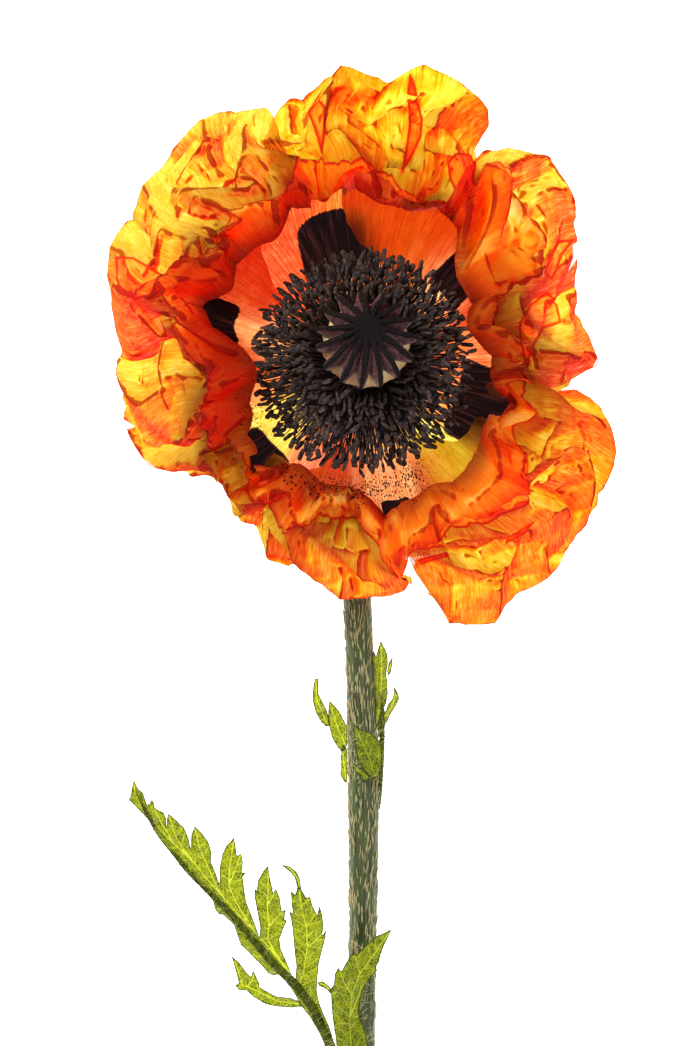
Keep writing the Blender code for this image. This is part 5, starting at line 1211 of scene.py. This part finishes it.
# Each part of the blade: its outline, its veins with the midrib first, and places that it passes through.
# Outlines and veins were read by eye point by point, and a small script turned the readings into millimetres.
LARGE_BLADES = [
    # the blade along the rib, with its seven lobes
    ([(-57.8, -103.8), (-56.7, -106.1), (-55.5, -107.0), (-55.0, -108.6), (-54.6, -110.0), (-54.1, -110.1),
     (-53.2, -108.8), (-52.6, -110.1), (-52.6, -110.9), (-51.5, -111.5), (-50.2, -112.1), (-49.7, -113.6),
     (-49.6, -115.9), (-49.4, -113.2), (-49.1, -112.3), (-47.0, -114.1), (-45.1, -115.8), (-44.0, -118.4),
     (-43.4, -121.4), (-43.3, -117.6), (-42.4, -115.4), (-40.6, -117.2), (-38.9, -119.5), (-38.2, -122.0),
     (-38.3, -124.6), (-37.1, -127.5), (-36.2, -130.1), (-36.2, -126.1), (-35.5, -122.6), (-34.5, -120.4),
     (-32.5, -118.2), (-32.1, -120.1), (-31.7, -122.8), (-30.6, -122.2), (-30.2, -124.8), (-30.6, -127.2),
     (-29.4, -127.1), (-30.3, -128.3), (-30.0, -130.9), (-29.5, -134.5), (-28.2, -137.8), (-27.0, -140.8),
     (-26.1, -143.8), (-25.9, -141.1), (-26.6, -137.3), (-27.3, -133.6), (-27.4, -131.2), (-26.8, -131.7),
     (-26.4, -128.9), (-25.1, -126.5), (-23.8, -125.1), (-23.4, -128.2), (-22.8, -130.6), (-22.7, -132.1),
     (-21.8, -130.9), (-20.8, -133.2), (-20.4, -136.8), (-19.3, -136.0), (-19.8, -138.8), (-19.1, -139.1),
     (-20.1, -141.4), (-21.0, -143.9), (-20.7, -146.5), (-19.4, -149.5), (-18.2, -152.6), (-17.1, -155.1),
     (-16.8, -150.8), (-17.3, -145.9), (-17.7, -141.4), (-18.1, -138.6), (-18.6, -136.4), (-17.6, -137.0),
     (-17.9, -134.5), (-18.1, -131.1), (-16.9, -132.1), (-16.4, -130.1), (-15.4, -130.8), (-14.2, -132.8),
     (-13.2, -132.5), (-12.6, -134.9), (-11.5, -137.3), (-10.9, -134.8), (-10.2, -137.1), (-9.9, -140.2),
     (-10.2, -142.8), (-9.2, -141.2), (-9.4, -143.4), (-10.4, -147.1), (-11.1, -150.2), (-11.5, -154.5),
     (-11.6, -157.3), (-11.0, -160.1), (-9.8, -163.2), (-8.5, -165.8), (-7.5, -169.2), (-7.0, -171.4),
     (-9.2, -171.4), (-10.1, -169.2), (-11.4, -167.0), (-13.2, -164.0), (-15.4, -161.2), (-17.0, -158.4),
     (-18.2, -156.5), (-21.5, -153.4), (-22.6, -153.6), (-23.9, -153.0), (-25.1, -151.4), (-27.0, -149.9),
     (-28.9, -147.8), (-30.8, -145.9), (-31.7, -143.4), (-32.6, -140.8), (-34.5, -139.2), (-35.4, -138.3),
     (-36.4, -138.3), (-37.3, -137.1), (-37.9, -134.6), (-39.2, -132.7), (-41.4, -130.2), (-43.9, -127.7),
     (-45.8, -125.5), (-48.6, -122.4), (-49.8, -120.8), (-51.7, -118.3), (-53.2, -116.1), (-54.2, -114.2),
     (-55.4, -112.7), (-57.3, -110.8), (-59.1, -108.9), (-58.6, -107.9), (-58.4, -106.1)],
     [[(-7.5, -170.1), (-12.0, -162.1), (-16.1, -156.1), (-21.4, -149.2), (-27.0, -142.6), (-32.0, -137.6),
      (-35.1, -133.9), (-38.9, -129.5), (-42.6, -125.1), (-47.0, -120.8), (-50.8, -117.0), (-53.9, -113.6),
      (-56.1, -110.8), (-57.5, -107.3), (-57.8, -104.2)],
      [(-16.1, -156.1), (-18.9, -152.0), (-22.0, -147.9), (-24.1, -143.9), (-23.7, -140.8), (-24.1, -135.8),
      (-23.9, -130.8), (-23.8, -125.5)],
      [(-16.1, -156.1), (-15.0, -152.6), (-14.0, -145.8), (-14.2, -140.8), (-15.4, -135.8),
      (-15.9, -131.4)],
      [(-27.0, -142.6), (-29.5, -139.0), (-32.0, -135.1), (-33.8, -130.8), (-33.8, -127.0), (-33.1, -122.6),
      (-32.5, -118.6)],
      [(-35.1, -133.9), (-37.3, -130.1), (-39.1, -125.8), (-41.1, -121.4), (-42.4, -115.9)],
      [(-42.6, -125.1), (-45.1, -121.7), (-47.3, -118.1), (-49.0, -112.8)],
      [(-47.0, -120.8), (-49.2, -117.6), (-51.2, -114.2), (-52.6, -111.4)],
      [(-14.2, -140.8), (-12.3, -137.6), (-10.9, -135.2)],
      [(-14.0, -145.8), (-11.7, -143.9), (-9.5, -141.7)],
      [(-24.1, -135.8), (-22.8, -133.2), (-21.9, -131.2)],
      [(-23.7, -140.8), (-21.4, -138.2), (-19.5, -136.2)],
      [(-33.8, -130.8), (-32.0, -125.8), (-30.8, -122.6)]],
     [place[:3] for place in LARGE_RIB[:-1]]
     + [(-57.4, -106, 4.6), (-49.3, -113, 4.6), (-42.4, -116, 5.4), (-35, -128, 4.6), (-32.6, -119, 6.2),
        (-25.6, -140, 5), (-23.9, -126, 7.2), (-16, -146, 7.2), (-15.6, -132, 10.2), (-36, -139.5, 1.6),
        (-28, -149, 1.6), (-22, -154.5, 2)]),
    # the curled point of the last lobe
    ([(-15.4, -130.9), (-15.7, -128.2), (-16.4, -126.4), (-18.2, -124.8), (-20.6, -124.4), (-18.2, -126.2),
     (-17.1, -127.6), (-16.5, -130.2)],
     [[(-15.9, -130.8), (-16.1, -128.2), (-18.2, -125.4), (-20.2, -124.4)]],
     [(-15.6, -131, 10.6), (-18, -126, 12), (-20.5, -124, 11.2)]),
    # the stalked lobe on the lower side
    ([(-15.4, -161.2), (-18.2, -161.6), (-21.4, -161.4), (-24.5, -160.8), (-27.9, -158.9), (-29.5, -157.4),
     (-31.4, -157.4), (-32.4, -156.0), (-31.4, -155.6), (-32.0, -153.3), (-32.6, -150.8), (-33.4, -148.4),
     (-31.4, -150.1), (-29.5, -152.7), (-28.3, -153.9), (-27.8, -152.2), (-26.9, -153.9), (-26.3, -155.2),
     (-26.2, -156.5), (-24.5, -157.4), (-21.4, -158.9), (-18.2, -159.0), (-16.1, -159.8)],
     [[(-16.1, -160.5), (-21.4, -160.1), (-27.0, -157.4), (-30.4, -156.1), (-32.1, -150.8),
     (-33.2, -148.8)],
      [(-29.2, -156.6), (-27.8, -154.5), (-27.7, -152.6)]],
     [(-15, -159.5, 4), (-22, -161, 2.8), (-30.5, -156, 2), (-33.2, -149, 2.8), (-28.5, -153, 2.4)]),
    # the lobe that crosses over the stalk
    ([(-6.4, -171.4), (-7.1, -166.4), (-7.6, -163.2), (-7.9, -159.5), (-8.1, -155.6), (-7.3, -154.6),
     (-7.1, -152.0), (-6.2, -150.4), (-5.4, -151.4), (-3.9, -148.3), (-2.3, -146.0), (-1.7, -147.1),
     (-0.1, -145.2), (1.8, -143.6), (3.5, -142.2), (5.2, -141.5), (7.2, -140.5), (6.2, -142.8),
     (5.2, -144.8), (4.4, -146.9), (4.0, -148.6), (3.1, -150.0), (3.6, -150.8), (1.8, -152.6),
     (0.5, -154.5), (-0.4, -157.0), (-1.1, -160.1), (-0.8, -163.2), (0.5, -165.9), (1.4, -171.4)],
     [[(-2.9, -171.1), (-3.4, -163.2), (-2.8, -157.0), (-0.8, -151.7), (3.0, -146.4), (7.0, -140.8)],
      [(-2.8, -157.0), (-4.8, -153.9), (-6.1, -150.9)],
      [(-0.8, -151.7), (-1.5, -148.9), (-2.2, -146.4)],
      [(-3.4, -163.2), (-0.4, -155.1), (3.4, -150.8)]],
     [(-6.6, -176, 6.6), (-5.5, -167, 9.5), (-2, -158, 12.2), (3, -148, 12.3), (7.2, -141.5, 11.2),
     (-8.5, -152, 9.6)]),
    # a small tooth between them
    ([(-11.5, -154.8), (-10.1, -154.5), (-8.2, -156.1), (-8.0, -157.9), (-9.5, -156.4), (-11.0, -155.8)],
     [[(-8.1, -157.0), (-9.8, -155.5), (-11.2, -154.9)]],
     [(-9, -158.5, 5.2), (-12, -154.5, 5.4)]),
]
BLADE_STEP = 0.5  # spacing of the blade's points
ROW_PACKING = 1.15  # rows of points lie this much closer than the points in a row
MARGIN_STEP = 0.4
VEIN_GAP = 0.24  # clear strip left beside veins and margins
LOWEST = 0.25  # no part of a blade lies closer to the table
RIB_SIDES = 20
MARGIN_BRISTLES, VEIN_BRISTLES, RIB_BRISTLES = 0.30, 0.16, 1.6  # for each point of a margin, vein and rib


def leaf_finish():
    n = Nodes("leaf_blade")
    grain = n.layer("grain").outputs["Vector"]
    rim = n.layer("rim").outputs["Fac"]
    parts = n.add("SeparateXYZ", {0: grain})
    along, aside = parts.outputs[0], n.math("ABSOLUTE", parts.outputs[1])
    cloud = n.noise(n.stretched(grain, (0.5, 0.5, 1.0)), 1.0, 3.0)
    fine = n.noise(n.stretched(grain, (3.0, 3.0, 1.0)), 1.0, 4.0, 0.7)
    blade = n.blend(n.spread(cloud, 0.35, 0.65), (0.070, 0.100, 0.001, 1), (0.290, 0.325, 0.003, 1))
    blade = n.blend(n.spread(fine, 0.35, 0.70, 0.0, 0.55), blade, (0.045, 0.070, 0.001, 1))
    net = n.add("TexVoronoi", {"Vector": grain, "Scale": 1.05}, voronoi_dimensions="2D",
                feature="DISTANCE_TO_EDGE").outputs["Distance"]
    small = n.add("TexVoronoi", {"Vector": grain, "Scale": 2.6}, voronoi_dimensions="2D",
                  feature="DISTANCE_TO_EDGE").outputs["Distance"]
    wander = n.spread(cloud, 0.2, 0.8, -0.7, 0.7)
    slanted = n.math("SUBTRACT", along, n.math("MULTIPLY", aside, 0.95))
    phase = n.math("FRACT", n.math("DIVIDE", n.math("ADD", slanted, wander), 2.7))
    side_vein = n.spread(n.math("ABSOLUTE", n.math("SUBTRACT", phase, 0.5)), 0.10, 0.03)
    midrib = n.spread(aside, 0.22, 0.08)
    netted = n.math("MAXIMUM", n.spread(net, 0.13, 0.03, 0.0, 0.62), n.spread(small, 0.10, 0.02, 0.0, 0.30))
    vein = n.math("MAXIMUM", n.math("MAXIMUM", midrib, n.math("MULTIPLY", side_vein, 0.75)), netted)
    green = n.blend(vein, blade, (0.520, 0.560, 0.030, 1))
    green = n.blend(n.spread(rim, 0.42, 0.12, 0.0, 0.9), green, (0.030, 0.050, 0.004, 1))
    skin = n.blend(1.0, green, (0.62, 0.72, 0.6, 1), "MULTIPLY")
    normal = n.bump(n.math("ADD", vein, n.math("MULTIPLY", fine, 0.4)), 0.7, 0.0003)
    front = n.add("BsdfPrincipled", {"Base Color": skin, "Roughness": 0.42, "Normal": normal})
    back = n.add("BsdfTranslucent", {"Color": green, "Normal": normal})
    return n.surface(n.add("MixShader", {0: 0.52, 1: front.outputs[0], 2: back.outputs[0]}).outputs[0])


def stepped(points, step, closed=False):
    """Points at even steps along a line through the given ones."""
    line = np.array(points + points[:1] if closed else points, float)
    travel = travel_along(line)
    count = max(2, round(travel[-1] / step))
    even = np.linspace(0.0, travel[-1], count + 1)
    even = np.unique(np.concatenate([even, travel]))
    closest = 0.12
    even = even[np.concatenate([[True], np.diff(even) > closest])]
    line = np.stack([np.interp(even, travel, line[:, k]) for k in range(line.shape[1])], axis=-1)
    return (line[:-1], even[:-1]) if closed else (line, even)


def blade_sheet(outline, veins, heights, seed):
    """Fill an outline with a thin quilted sheet; mesh edges follow its veins.

    Gives its points, faces, grain, distance to the margin, and the way outwards along the margin.
    """
    edge, _ = stepped(outline, MARGIN_STEP, closed=True)
    loop = (np.concatenate([edge, edge[:1]]), np.zeros(len(edge) + 1))
    lines = [stepped(vein, MARGIN_STEP) for vein in veins]
    low, high = edge.min(axis=0), edge.max(axis=0)
    wide, tall = (high - low) / BLADE_STEP
    i, j = np.meshgrid(np.arange(wide), np.arange(tall * ROW_PACKING))
    fill = np.stack([low[0] + (i + 0.5 * (j % 2)).ravel() * BLADE_STEP,
                     low[1] + j.ravel() * BLADE_STEP / ROW_PACKING], axis=-1)
    fill = fill[inside(fill, edge)]
    fill = fill[(nearest(fill, [loop])[0] > VEIN_GAP) & (nearest(fill, lines)[0] > VEIN_GAP)]
    places, links = [edge, fill], [(k, (k + 1) % len(edge)) for k in range(len(edge))]
    first = len(edge) + len(fill)
    for line, _ in lines:
        held = inside(line, edge) & (nearest(line, [loop])[0] > 0.15)
        number = (np.cumsum(held) - 1 + first).tolist()
        links += [(number[k], number[k + 1]) for k in range(len(line) - 1) if held[k] and held[k + 1]]
        places.append(line[held])
        first += int(held.sum())
    places = np.concatenate(places)
    found = delaunay_2d_cdt([Vector(p) for p in places.tolist()], links, [], 0, 1e-5)
    flat = np.array([tuple(v) for v in found[0]])
    faces = np.array(found[2])
    faces = faces[inside(flat[faces].mean(axis=1), edge)]
    rim = nearest(flat, [loop])[0]
    near, aside, along = nearest(flat, lines)
    known = np.array(heights)
    weight = 1.0 / (((flat[:, None] - known[None, :, :2])**2).sum(axis=-1) + 2.0)**2
    height = (weight * known[None, :, 2]).sum(axis=1) / weight.sum(axis=1)
    x, y = flat.T
    height += 0.30 * smoothstep(near / 0.6) + 0.30 * value_noise(x / 1.5, y / 1.5, seed) * smoothstep(near)
    height += 0.5 * value_noise(x / 5.0, y / 5.0, seed + 1) * smoothstep(near / 3.0)
    sheet = np.column_stack([flat, np.maximum(height, LOWEST)])
    grain = np.column_stack([along, aside, 0.0 * along])
    x, y = (np.roll(edge, -1, axis=0) - np.roll(edge, 1, axis=0)).T
    area = (edge[:, 0] * np.roll(edge[:, 1], -1) - np.roll(edge[:, 0], -1) * edge[:, 1]).sum()
    outward = unit(np.stack([y, -x, 0.0 * x], axis=-1) * math.copysign(1.0, area))
    return sheet, faces, grain, rim, outward


def grown_leaf(name, rib, blades, node, seed):
    """All blades of a leaf and its rib as one piece, and the white bristles as another."""
    points, faces, grain, rim, roots, directions = [], [], [], [], [], []
    first = 0
    dice = np.random.default_rng(seed)
    for number, (outline, veins, heights) in enumerate(blades):
        sheet, triangles, place, edge, outward = blade_sheet(outline, veins, heights, 10 * seed + number)
        faces += (triangles + first).tolist()
        points.append(sheet)
        grain.append(place + (40.0 * number, 0.0, 0.0))
        rim.append(edge)
        first += len(sheet)
        pick = np.flatnonzero(dice.random(len(outward)) < MARGIN_BRISTLES)
        roots.append(sheet[pick])
        directions.append(unit(outward[pick] + dice.normal(0.0, 0.35, (len(pick), 3)) + (0.0, 0.3, 0.1)))
        veined = np.flatnonzero((np.abs(place[:, 1]) < 0.05) & (edge > 0.6))
        veined = veined[dice.random(len(veined)) < VEIN_BRISTLES]
        roots.append(sheet[veined])
        directions.append(unit(dice.normal(0.0, 0.5, (len(veined), 3)) + (0.1, 0.6, 0.6)))
    line = np.array(rib, float)
    travel = travel_along(line[:, :3])
    even = np.arange(0.0, travel[-1], BLADE_STEP)
    line = np.stack([curve_through(travel, list(line[:, k]), even) for k in range(4)], axis=-1)
    ahead = unit(np.gradient(line[:, :3], axis=0))
    side = unit(np.cross(ahead, (0.0, 0.0, 1.0)))
    up = np.cross(side, ahead)
    phi = 2.0 * math.pi * np.arange(RIB_SIDES) / RIB_SIDES
    girth = line[:, 3:] * (1.0 + 0.07 * np.cos(5 * phi))[None]
    tube = (line[:, None, :3] + (girth * np.cos(phi))[..., None] * side[:, None]
            + (0.8 * girth * np.sin(phi))[..., None] * up[:, None])
    tube[..., 2] = np.maximum(tube[..., 2], 0.15)
    faces += ring_faces(len(even), RIB_SIDES, first) + end_faces(len(even), RIB_SIDES, first)
    points.append(tube.reshape(-1, 3))
    rib_grain = np.stack(np.broadcast_arrays(even[:, None], 0.30 + 0.12 * np.cos(phi)[None], 0.0), axis=-1)
    grain.append(rib_grain.reshape(-1, 3))
    rim.append(np.full(len(even) * RIB_SIDES, 2.0))
    make_piece(name, np.concatenate(points), faces, leaf_skin, node, "leaf_green",
               grain=np.concatenate(grain), rim=np.concatenate(rim))
    count = int(len(even) * RIB_BRISTLES)
    pick = dice.integers(0, len(even), count)
    turn = dice.uniform(0.0, 2.0 * math.pi, count)
    outward = np.cos(turn)[:, None] * side[pick] + np.sin(turn)[:, None] * up[pick]
    roots.append(line[pick, :3] + outward * line[pick, 3:] * 0.85)
    directions.append(unit(outward + 0.5 * ahead[pick] + dice.normal(0.0, 0.2, (count, 3))))
    roots, directions = np.concatenate(roots), np.concatenate(directions)
    curl = 0.25 * dice.normal(0.0, 0.6, directions.shape)
    lengths = dice.uniform(1.2, 4.2, len(roots))
    radii = dice.uniform(0.055, 0.085, len(roots))
    spikes, faces, share = tapered_spikes(roots, directions, curl, lengths, radii)
    spikes[:, 2] = np.maximum(spikes[:, 2], 0.05)
    make_piece(name + "_bristles", spikes, faces, straw, None, "leaf_green", along=share)


leaf_skin = leaf_finish()
grown_leaf("large_leaf", LARGE_RIB, LARGE_BLADES, "leaf_lower", 1)

# ---------------------------------------------------------------------------------------------------
# Small leaf: it grows half-way up the stalk, at its right side. One lobe folds over the front of the
# stalk, and others pass under it and show at the left.

SMALL_RIB = [
    (3.2, -114.0, 4.4, 0.3), (3.8, -109.5, 4.6, 0.75), (4.2, -103.5, 4.9, 0.85), (4.6, -97.0, 5.3, 0.8),
    (4.9, -90.0, 5.6, 0.6), (4.8, -82.0, 5.8, 0.4),
]
# Made in the same way as the large leaf's
SMALL_BLADES = [
    # the tall lobe at the right
    ([(4.5, -68.4), (5.2, -70.0), (6.2, -72.0), (6.3, -74.2), (5.9, -76.8), (6.2, -79.2), (6.3, -81.8),
     (5.9, -84.2), (5.0, -86.8), (4.0, -89.2), (3.5, -91.5), (2.8, -91.2), (2.8, -89.2), (2.8, -87.2),
     (3.2, -84.8), (3.0, -81.8), (2.8, -78.8), (2.8, -75.8), (2.4, -73.2), (2.1, -70.7), (2.8, -71.3),
     (3.3, -72.5), (4.0, -70.0)],
     [[(3.2, -90.8), (4.2, -85.2), (4.7, -79.2), (4.7, -73.2), (4.5, -68.8)],
      [(2.8, -88.2), (3.0, -79.2), (2.5, -73.2), (2.2, -71.1)]],
     [(5, -90, 5.4), (4.4, -80, 6.2), (4.7, -69, 6.6)]),
    # two narrow ones beside it
    ([(7.6, -72.4), (7.4, -74.8), (7.0, -76.8), (6.3, -77.6), (6.1, -76.2), (6.5, -74.2)],
     [[(6.2, -77.2), (6.8, -75.2), (7.5, -72.8)]],
     [(5.8, -79, 5.9), (7.8, -73, 6.4)]),
    # and lower down
    ([(7.8, -79.9), (8.8, -81.8), (9.2, -83.3), (8.3, -85.2), (7.0, -87.2), (6.3, -88.8), (5.5, -90.2),
     (4.8, -92.2), (4.0, -92.8), (3.6, -90.8), (4.2, -88.2), (5.8, -86.2), (6.3, -84.8), (7.5, -83.2),
     (7.8, -81.7)],
     [[(4.0, -92.2), (5.2, -88.2), (7.3, -85.2), (8.2, -82.2), (7.8, -80.3)]],
     [(5, -92, 5.4), (8, -86, 5.4), (7.9, -81, 6)]),
    # the lobe folded over the front of the stalk
    ([(-2.4, -89.2), (-0.8, -90.5), (1.8, -91.4), (3.2, -92.8), (4.3, -93.5), (4.8, -96.2), (4.7, -99.2),
     (4.1, -101.8), (3.2, -102.8), (2.3, -103.2), (1.5, -102.3), (0.2, -100.8), (-0.8, -99.2),
     (-1.5, -97.2), (-2.0, -94.2), (-2.4, -91.2)],
     [[(3.0, -102.5), (1.8, -98.2), (0.0, -94.2), (-2.2, -89.8)]],
     [(3.5, -103.5, 9.8), (4.2, -98.5, 11.8), (0.5, -94.5, 12.6), (-2.2, -90, 11.2)]),
    # and a lesser one under it
    ([(-2.8, -98.9), (-1.2, -99.9), (0.2, -100.8), (1.5, -102.3), (1.8, -103.5), (0.2, -103.6),
     (-1.2, -102.1), (-2.3, -100.8)],
     [[(1.5, -103.0), (-0.8, -101.3), (-2.7, -99.2)]],
     [(2, -103.8, 10.2), (-0.5, -101.5, 11), (-2.5, -99.5, 10.6)]),
    # lobes that pass under the stalk
    ([(-12.0, -78.2), (-11.3, -78.3), (-11.2, -80.2), (-11.2, -82.2), (-10.2, -84.2), (-9.2, -86.2),
     (-8.7, -88.2), (-8.2, -90.2), (-9.0, -90.6), (-9.8, -90.2), (-11.0, -88.8), (-12.0, -86.8),
     (-12.7, -84.2), (-12.7, -81.8), (-12.5, -79.8)],
     [[(-8.8, -90.2), (-10.3, -87.2), (-11.8, -83.2), (-11.8, -78.5)]],
     [(-7.6, -91, 1.4), (-11.5, -86, 2.4), (-12, -78, 4)]),
    ([(-8.5, -83.9), (-6.8, -85.5), (-5.5, -87.5), (-4.7, -89.2), (-3.8, -90.8), (-4.0, -95.5),
     (-4.7, -96.8), (-5.5, -97.1), (-6.5, -95.8), (-7.8, -93.6), (-8.5, -90.8), (-8.8, -90.2),
     (-8.8, -87.2)],
     [[(-4.5, -95.2), (-6.2, -91.2), (-7.5, -87.8), (-8.4, -84.2)]],
     [(-4, -95, 0.6), (-7, -90, 1.2), (-8.6, -84, 3)]),
    ([(-5.2, -95.2), (-4.0, -96.2), (-3.8, -100.8), (-4.0, -105.0), (-4.7, -104.8), (-5.8, -102.8),
     (-5.5, -101.2), (-5.6, -98.2)],
     [[(-4.2, -104.5), (-4.8, -100.2), (-5.2, -95.5)]],
     [(-4, -104, 0.6), (-5.2, -96, 0.8)]),
]
grown_leaf("small_leaf", SMALL_RIB, SMALL_BLADES, "leaf_upper", 2)

# ---------------------------------------------------------------------------------------------------
# Stage: a bright pale table that shines up through the petals, soft lights above, and the camera
# straight over the bloom.

TABLE_SIZE = 3.0  # metres, as are the lamps' places
TABLE_GLOW = 3.4
TABLE_Z = -0.001
WORLD_COLOUR = (0.95, 0.97, 1.0, 1.0)
WORLD_STRENGTH = 0.30
LENS = 97.5


def table_finish():
    n = Nodes("table_white")
    grain = n.noise(n.add("TexCoord").outputs["Object"], 6.0, 2.0)
    white = n.blend(n.spread(grain, 0.3, 0.7), (1.0, 0.995, 0.985, 1), (0.985, 0.99, 1.0, 1))
    glow = n.add("Emission", {"Color": white, "Strength": TABLE_GLOW})
    matt = n.add("BsdfDiffuse", {"Color": white})
    return n.surface(n.add("MixShader", {0: 0.85, 1: matt.outputs[0], 2: glow.outputs[0]}).outputs[0])


def soft_light(name, where, size, power, colour):
    lamp = bpy.data.lights.new(name, "AREA")
    lamp.shape = "DISK"
    lamp.size, lamp.energy, lamp.color = size, power, colour
    made = bpy.data.objects.new(name, lamp)
    made.location = where
    made.rotation_euler = (-Vector(where)).to_track_quat("-Z", "Y").to_euler()
    bpy.context.scene.collection.objects.link(made)


half = 0.5 * TABLE_SIZE
corners = [(x, y, TABLE_Z) for x, y in ((-half, -half), (half, -half), (half, half), (-half, half))]
top = bpy.data.meshes.new("table_top")
top.from_pydata(corners, [], [(0, 1, 2, 3)])
top.materials.append(table_finish())
table_top = bpy.data.objects.new("table_top", top)
bpy.context.scene.collection.objects.link(table_top)

soft_light("key_light", (-0.55, 0.60, 0.75), 0.35, 9.0, (1.0, 0.97, 0.93))
soft_light("fill_light", (0.7, -0.5, 0.9), 0.6, 5.0, (0.93, 0.96, 1.0))
world = bpy.data.worlds.new("studio")
world.use_nodes = True
world.node_tree.nodes["Background"].inputs["Color"].default_value = WORLD_COLOUR
world.node_tree.nodes["Background"].inputs["Strength"].default_value = WORLD_STRENGTH
bpy.context.scene.world = world
bpy.context.scene.view_settings.view_transform = "Standard"

lens = bpy.data.cameras.new("camera")
lens.lens = LENS
lens.clip_end = 20.0
camera = bpy.data.objects.new("camera", lens)
camera.location = (np.array((*EYE, EYE_HEIGHT)) + BLOOM_AXIS) * 0.001
bpy.context.scene.collection.objects.link(camera)
bpy.context.scene.camera = camera
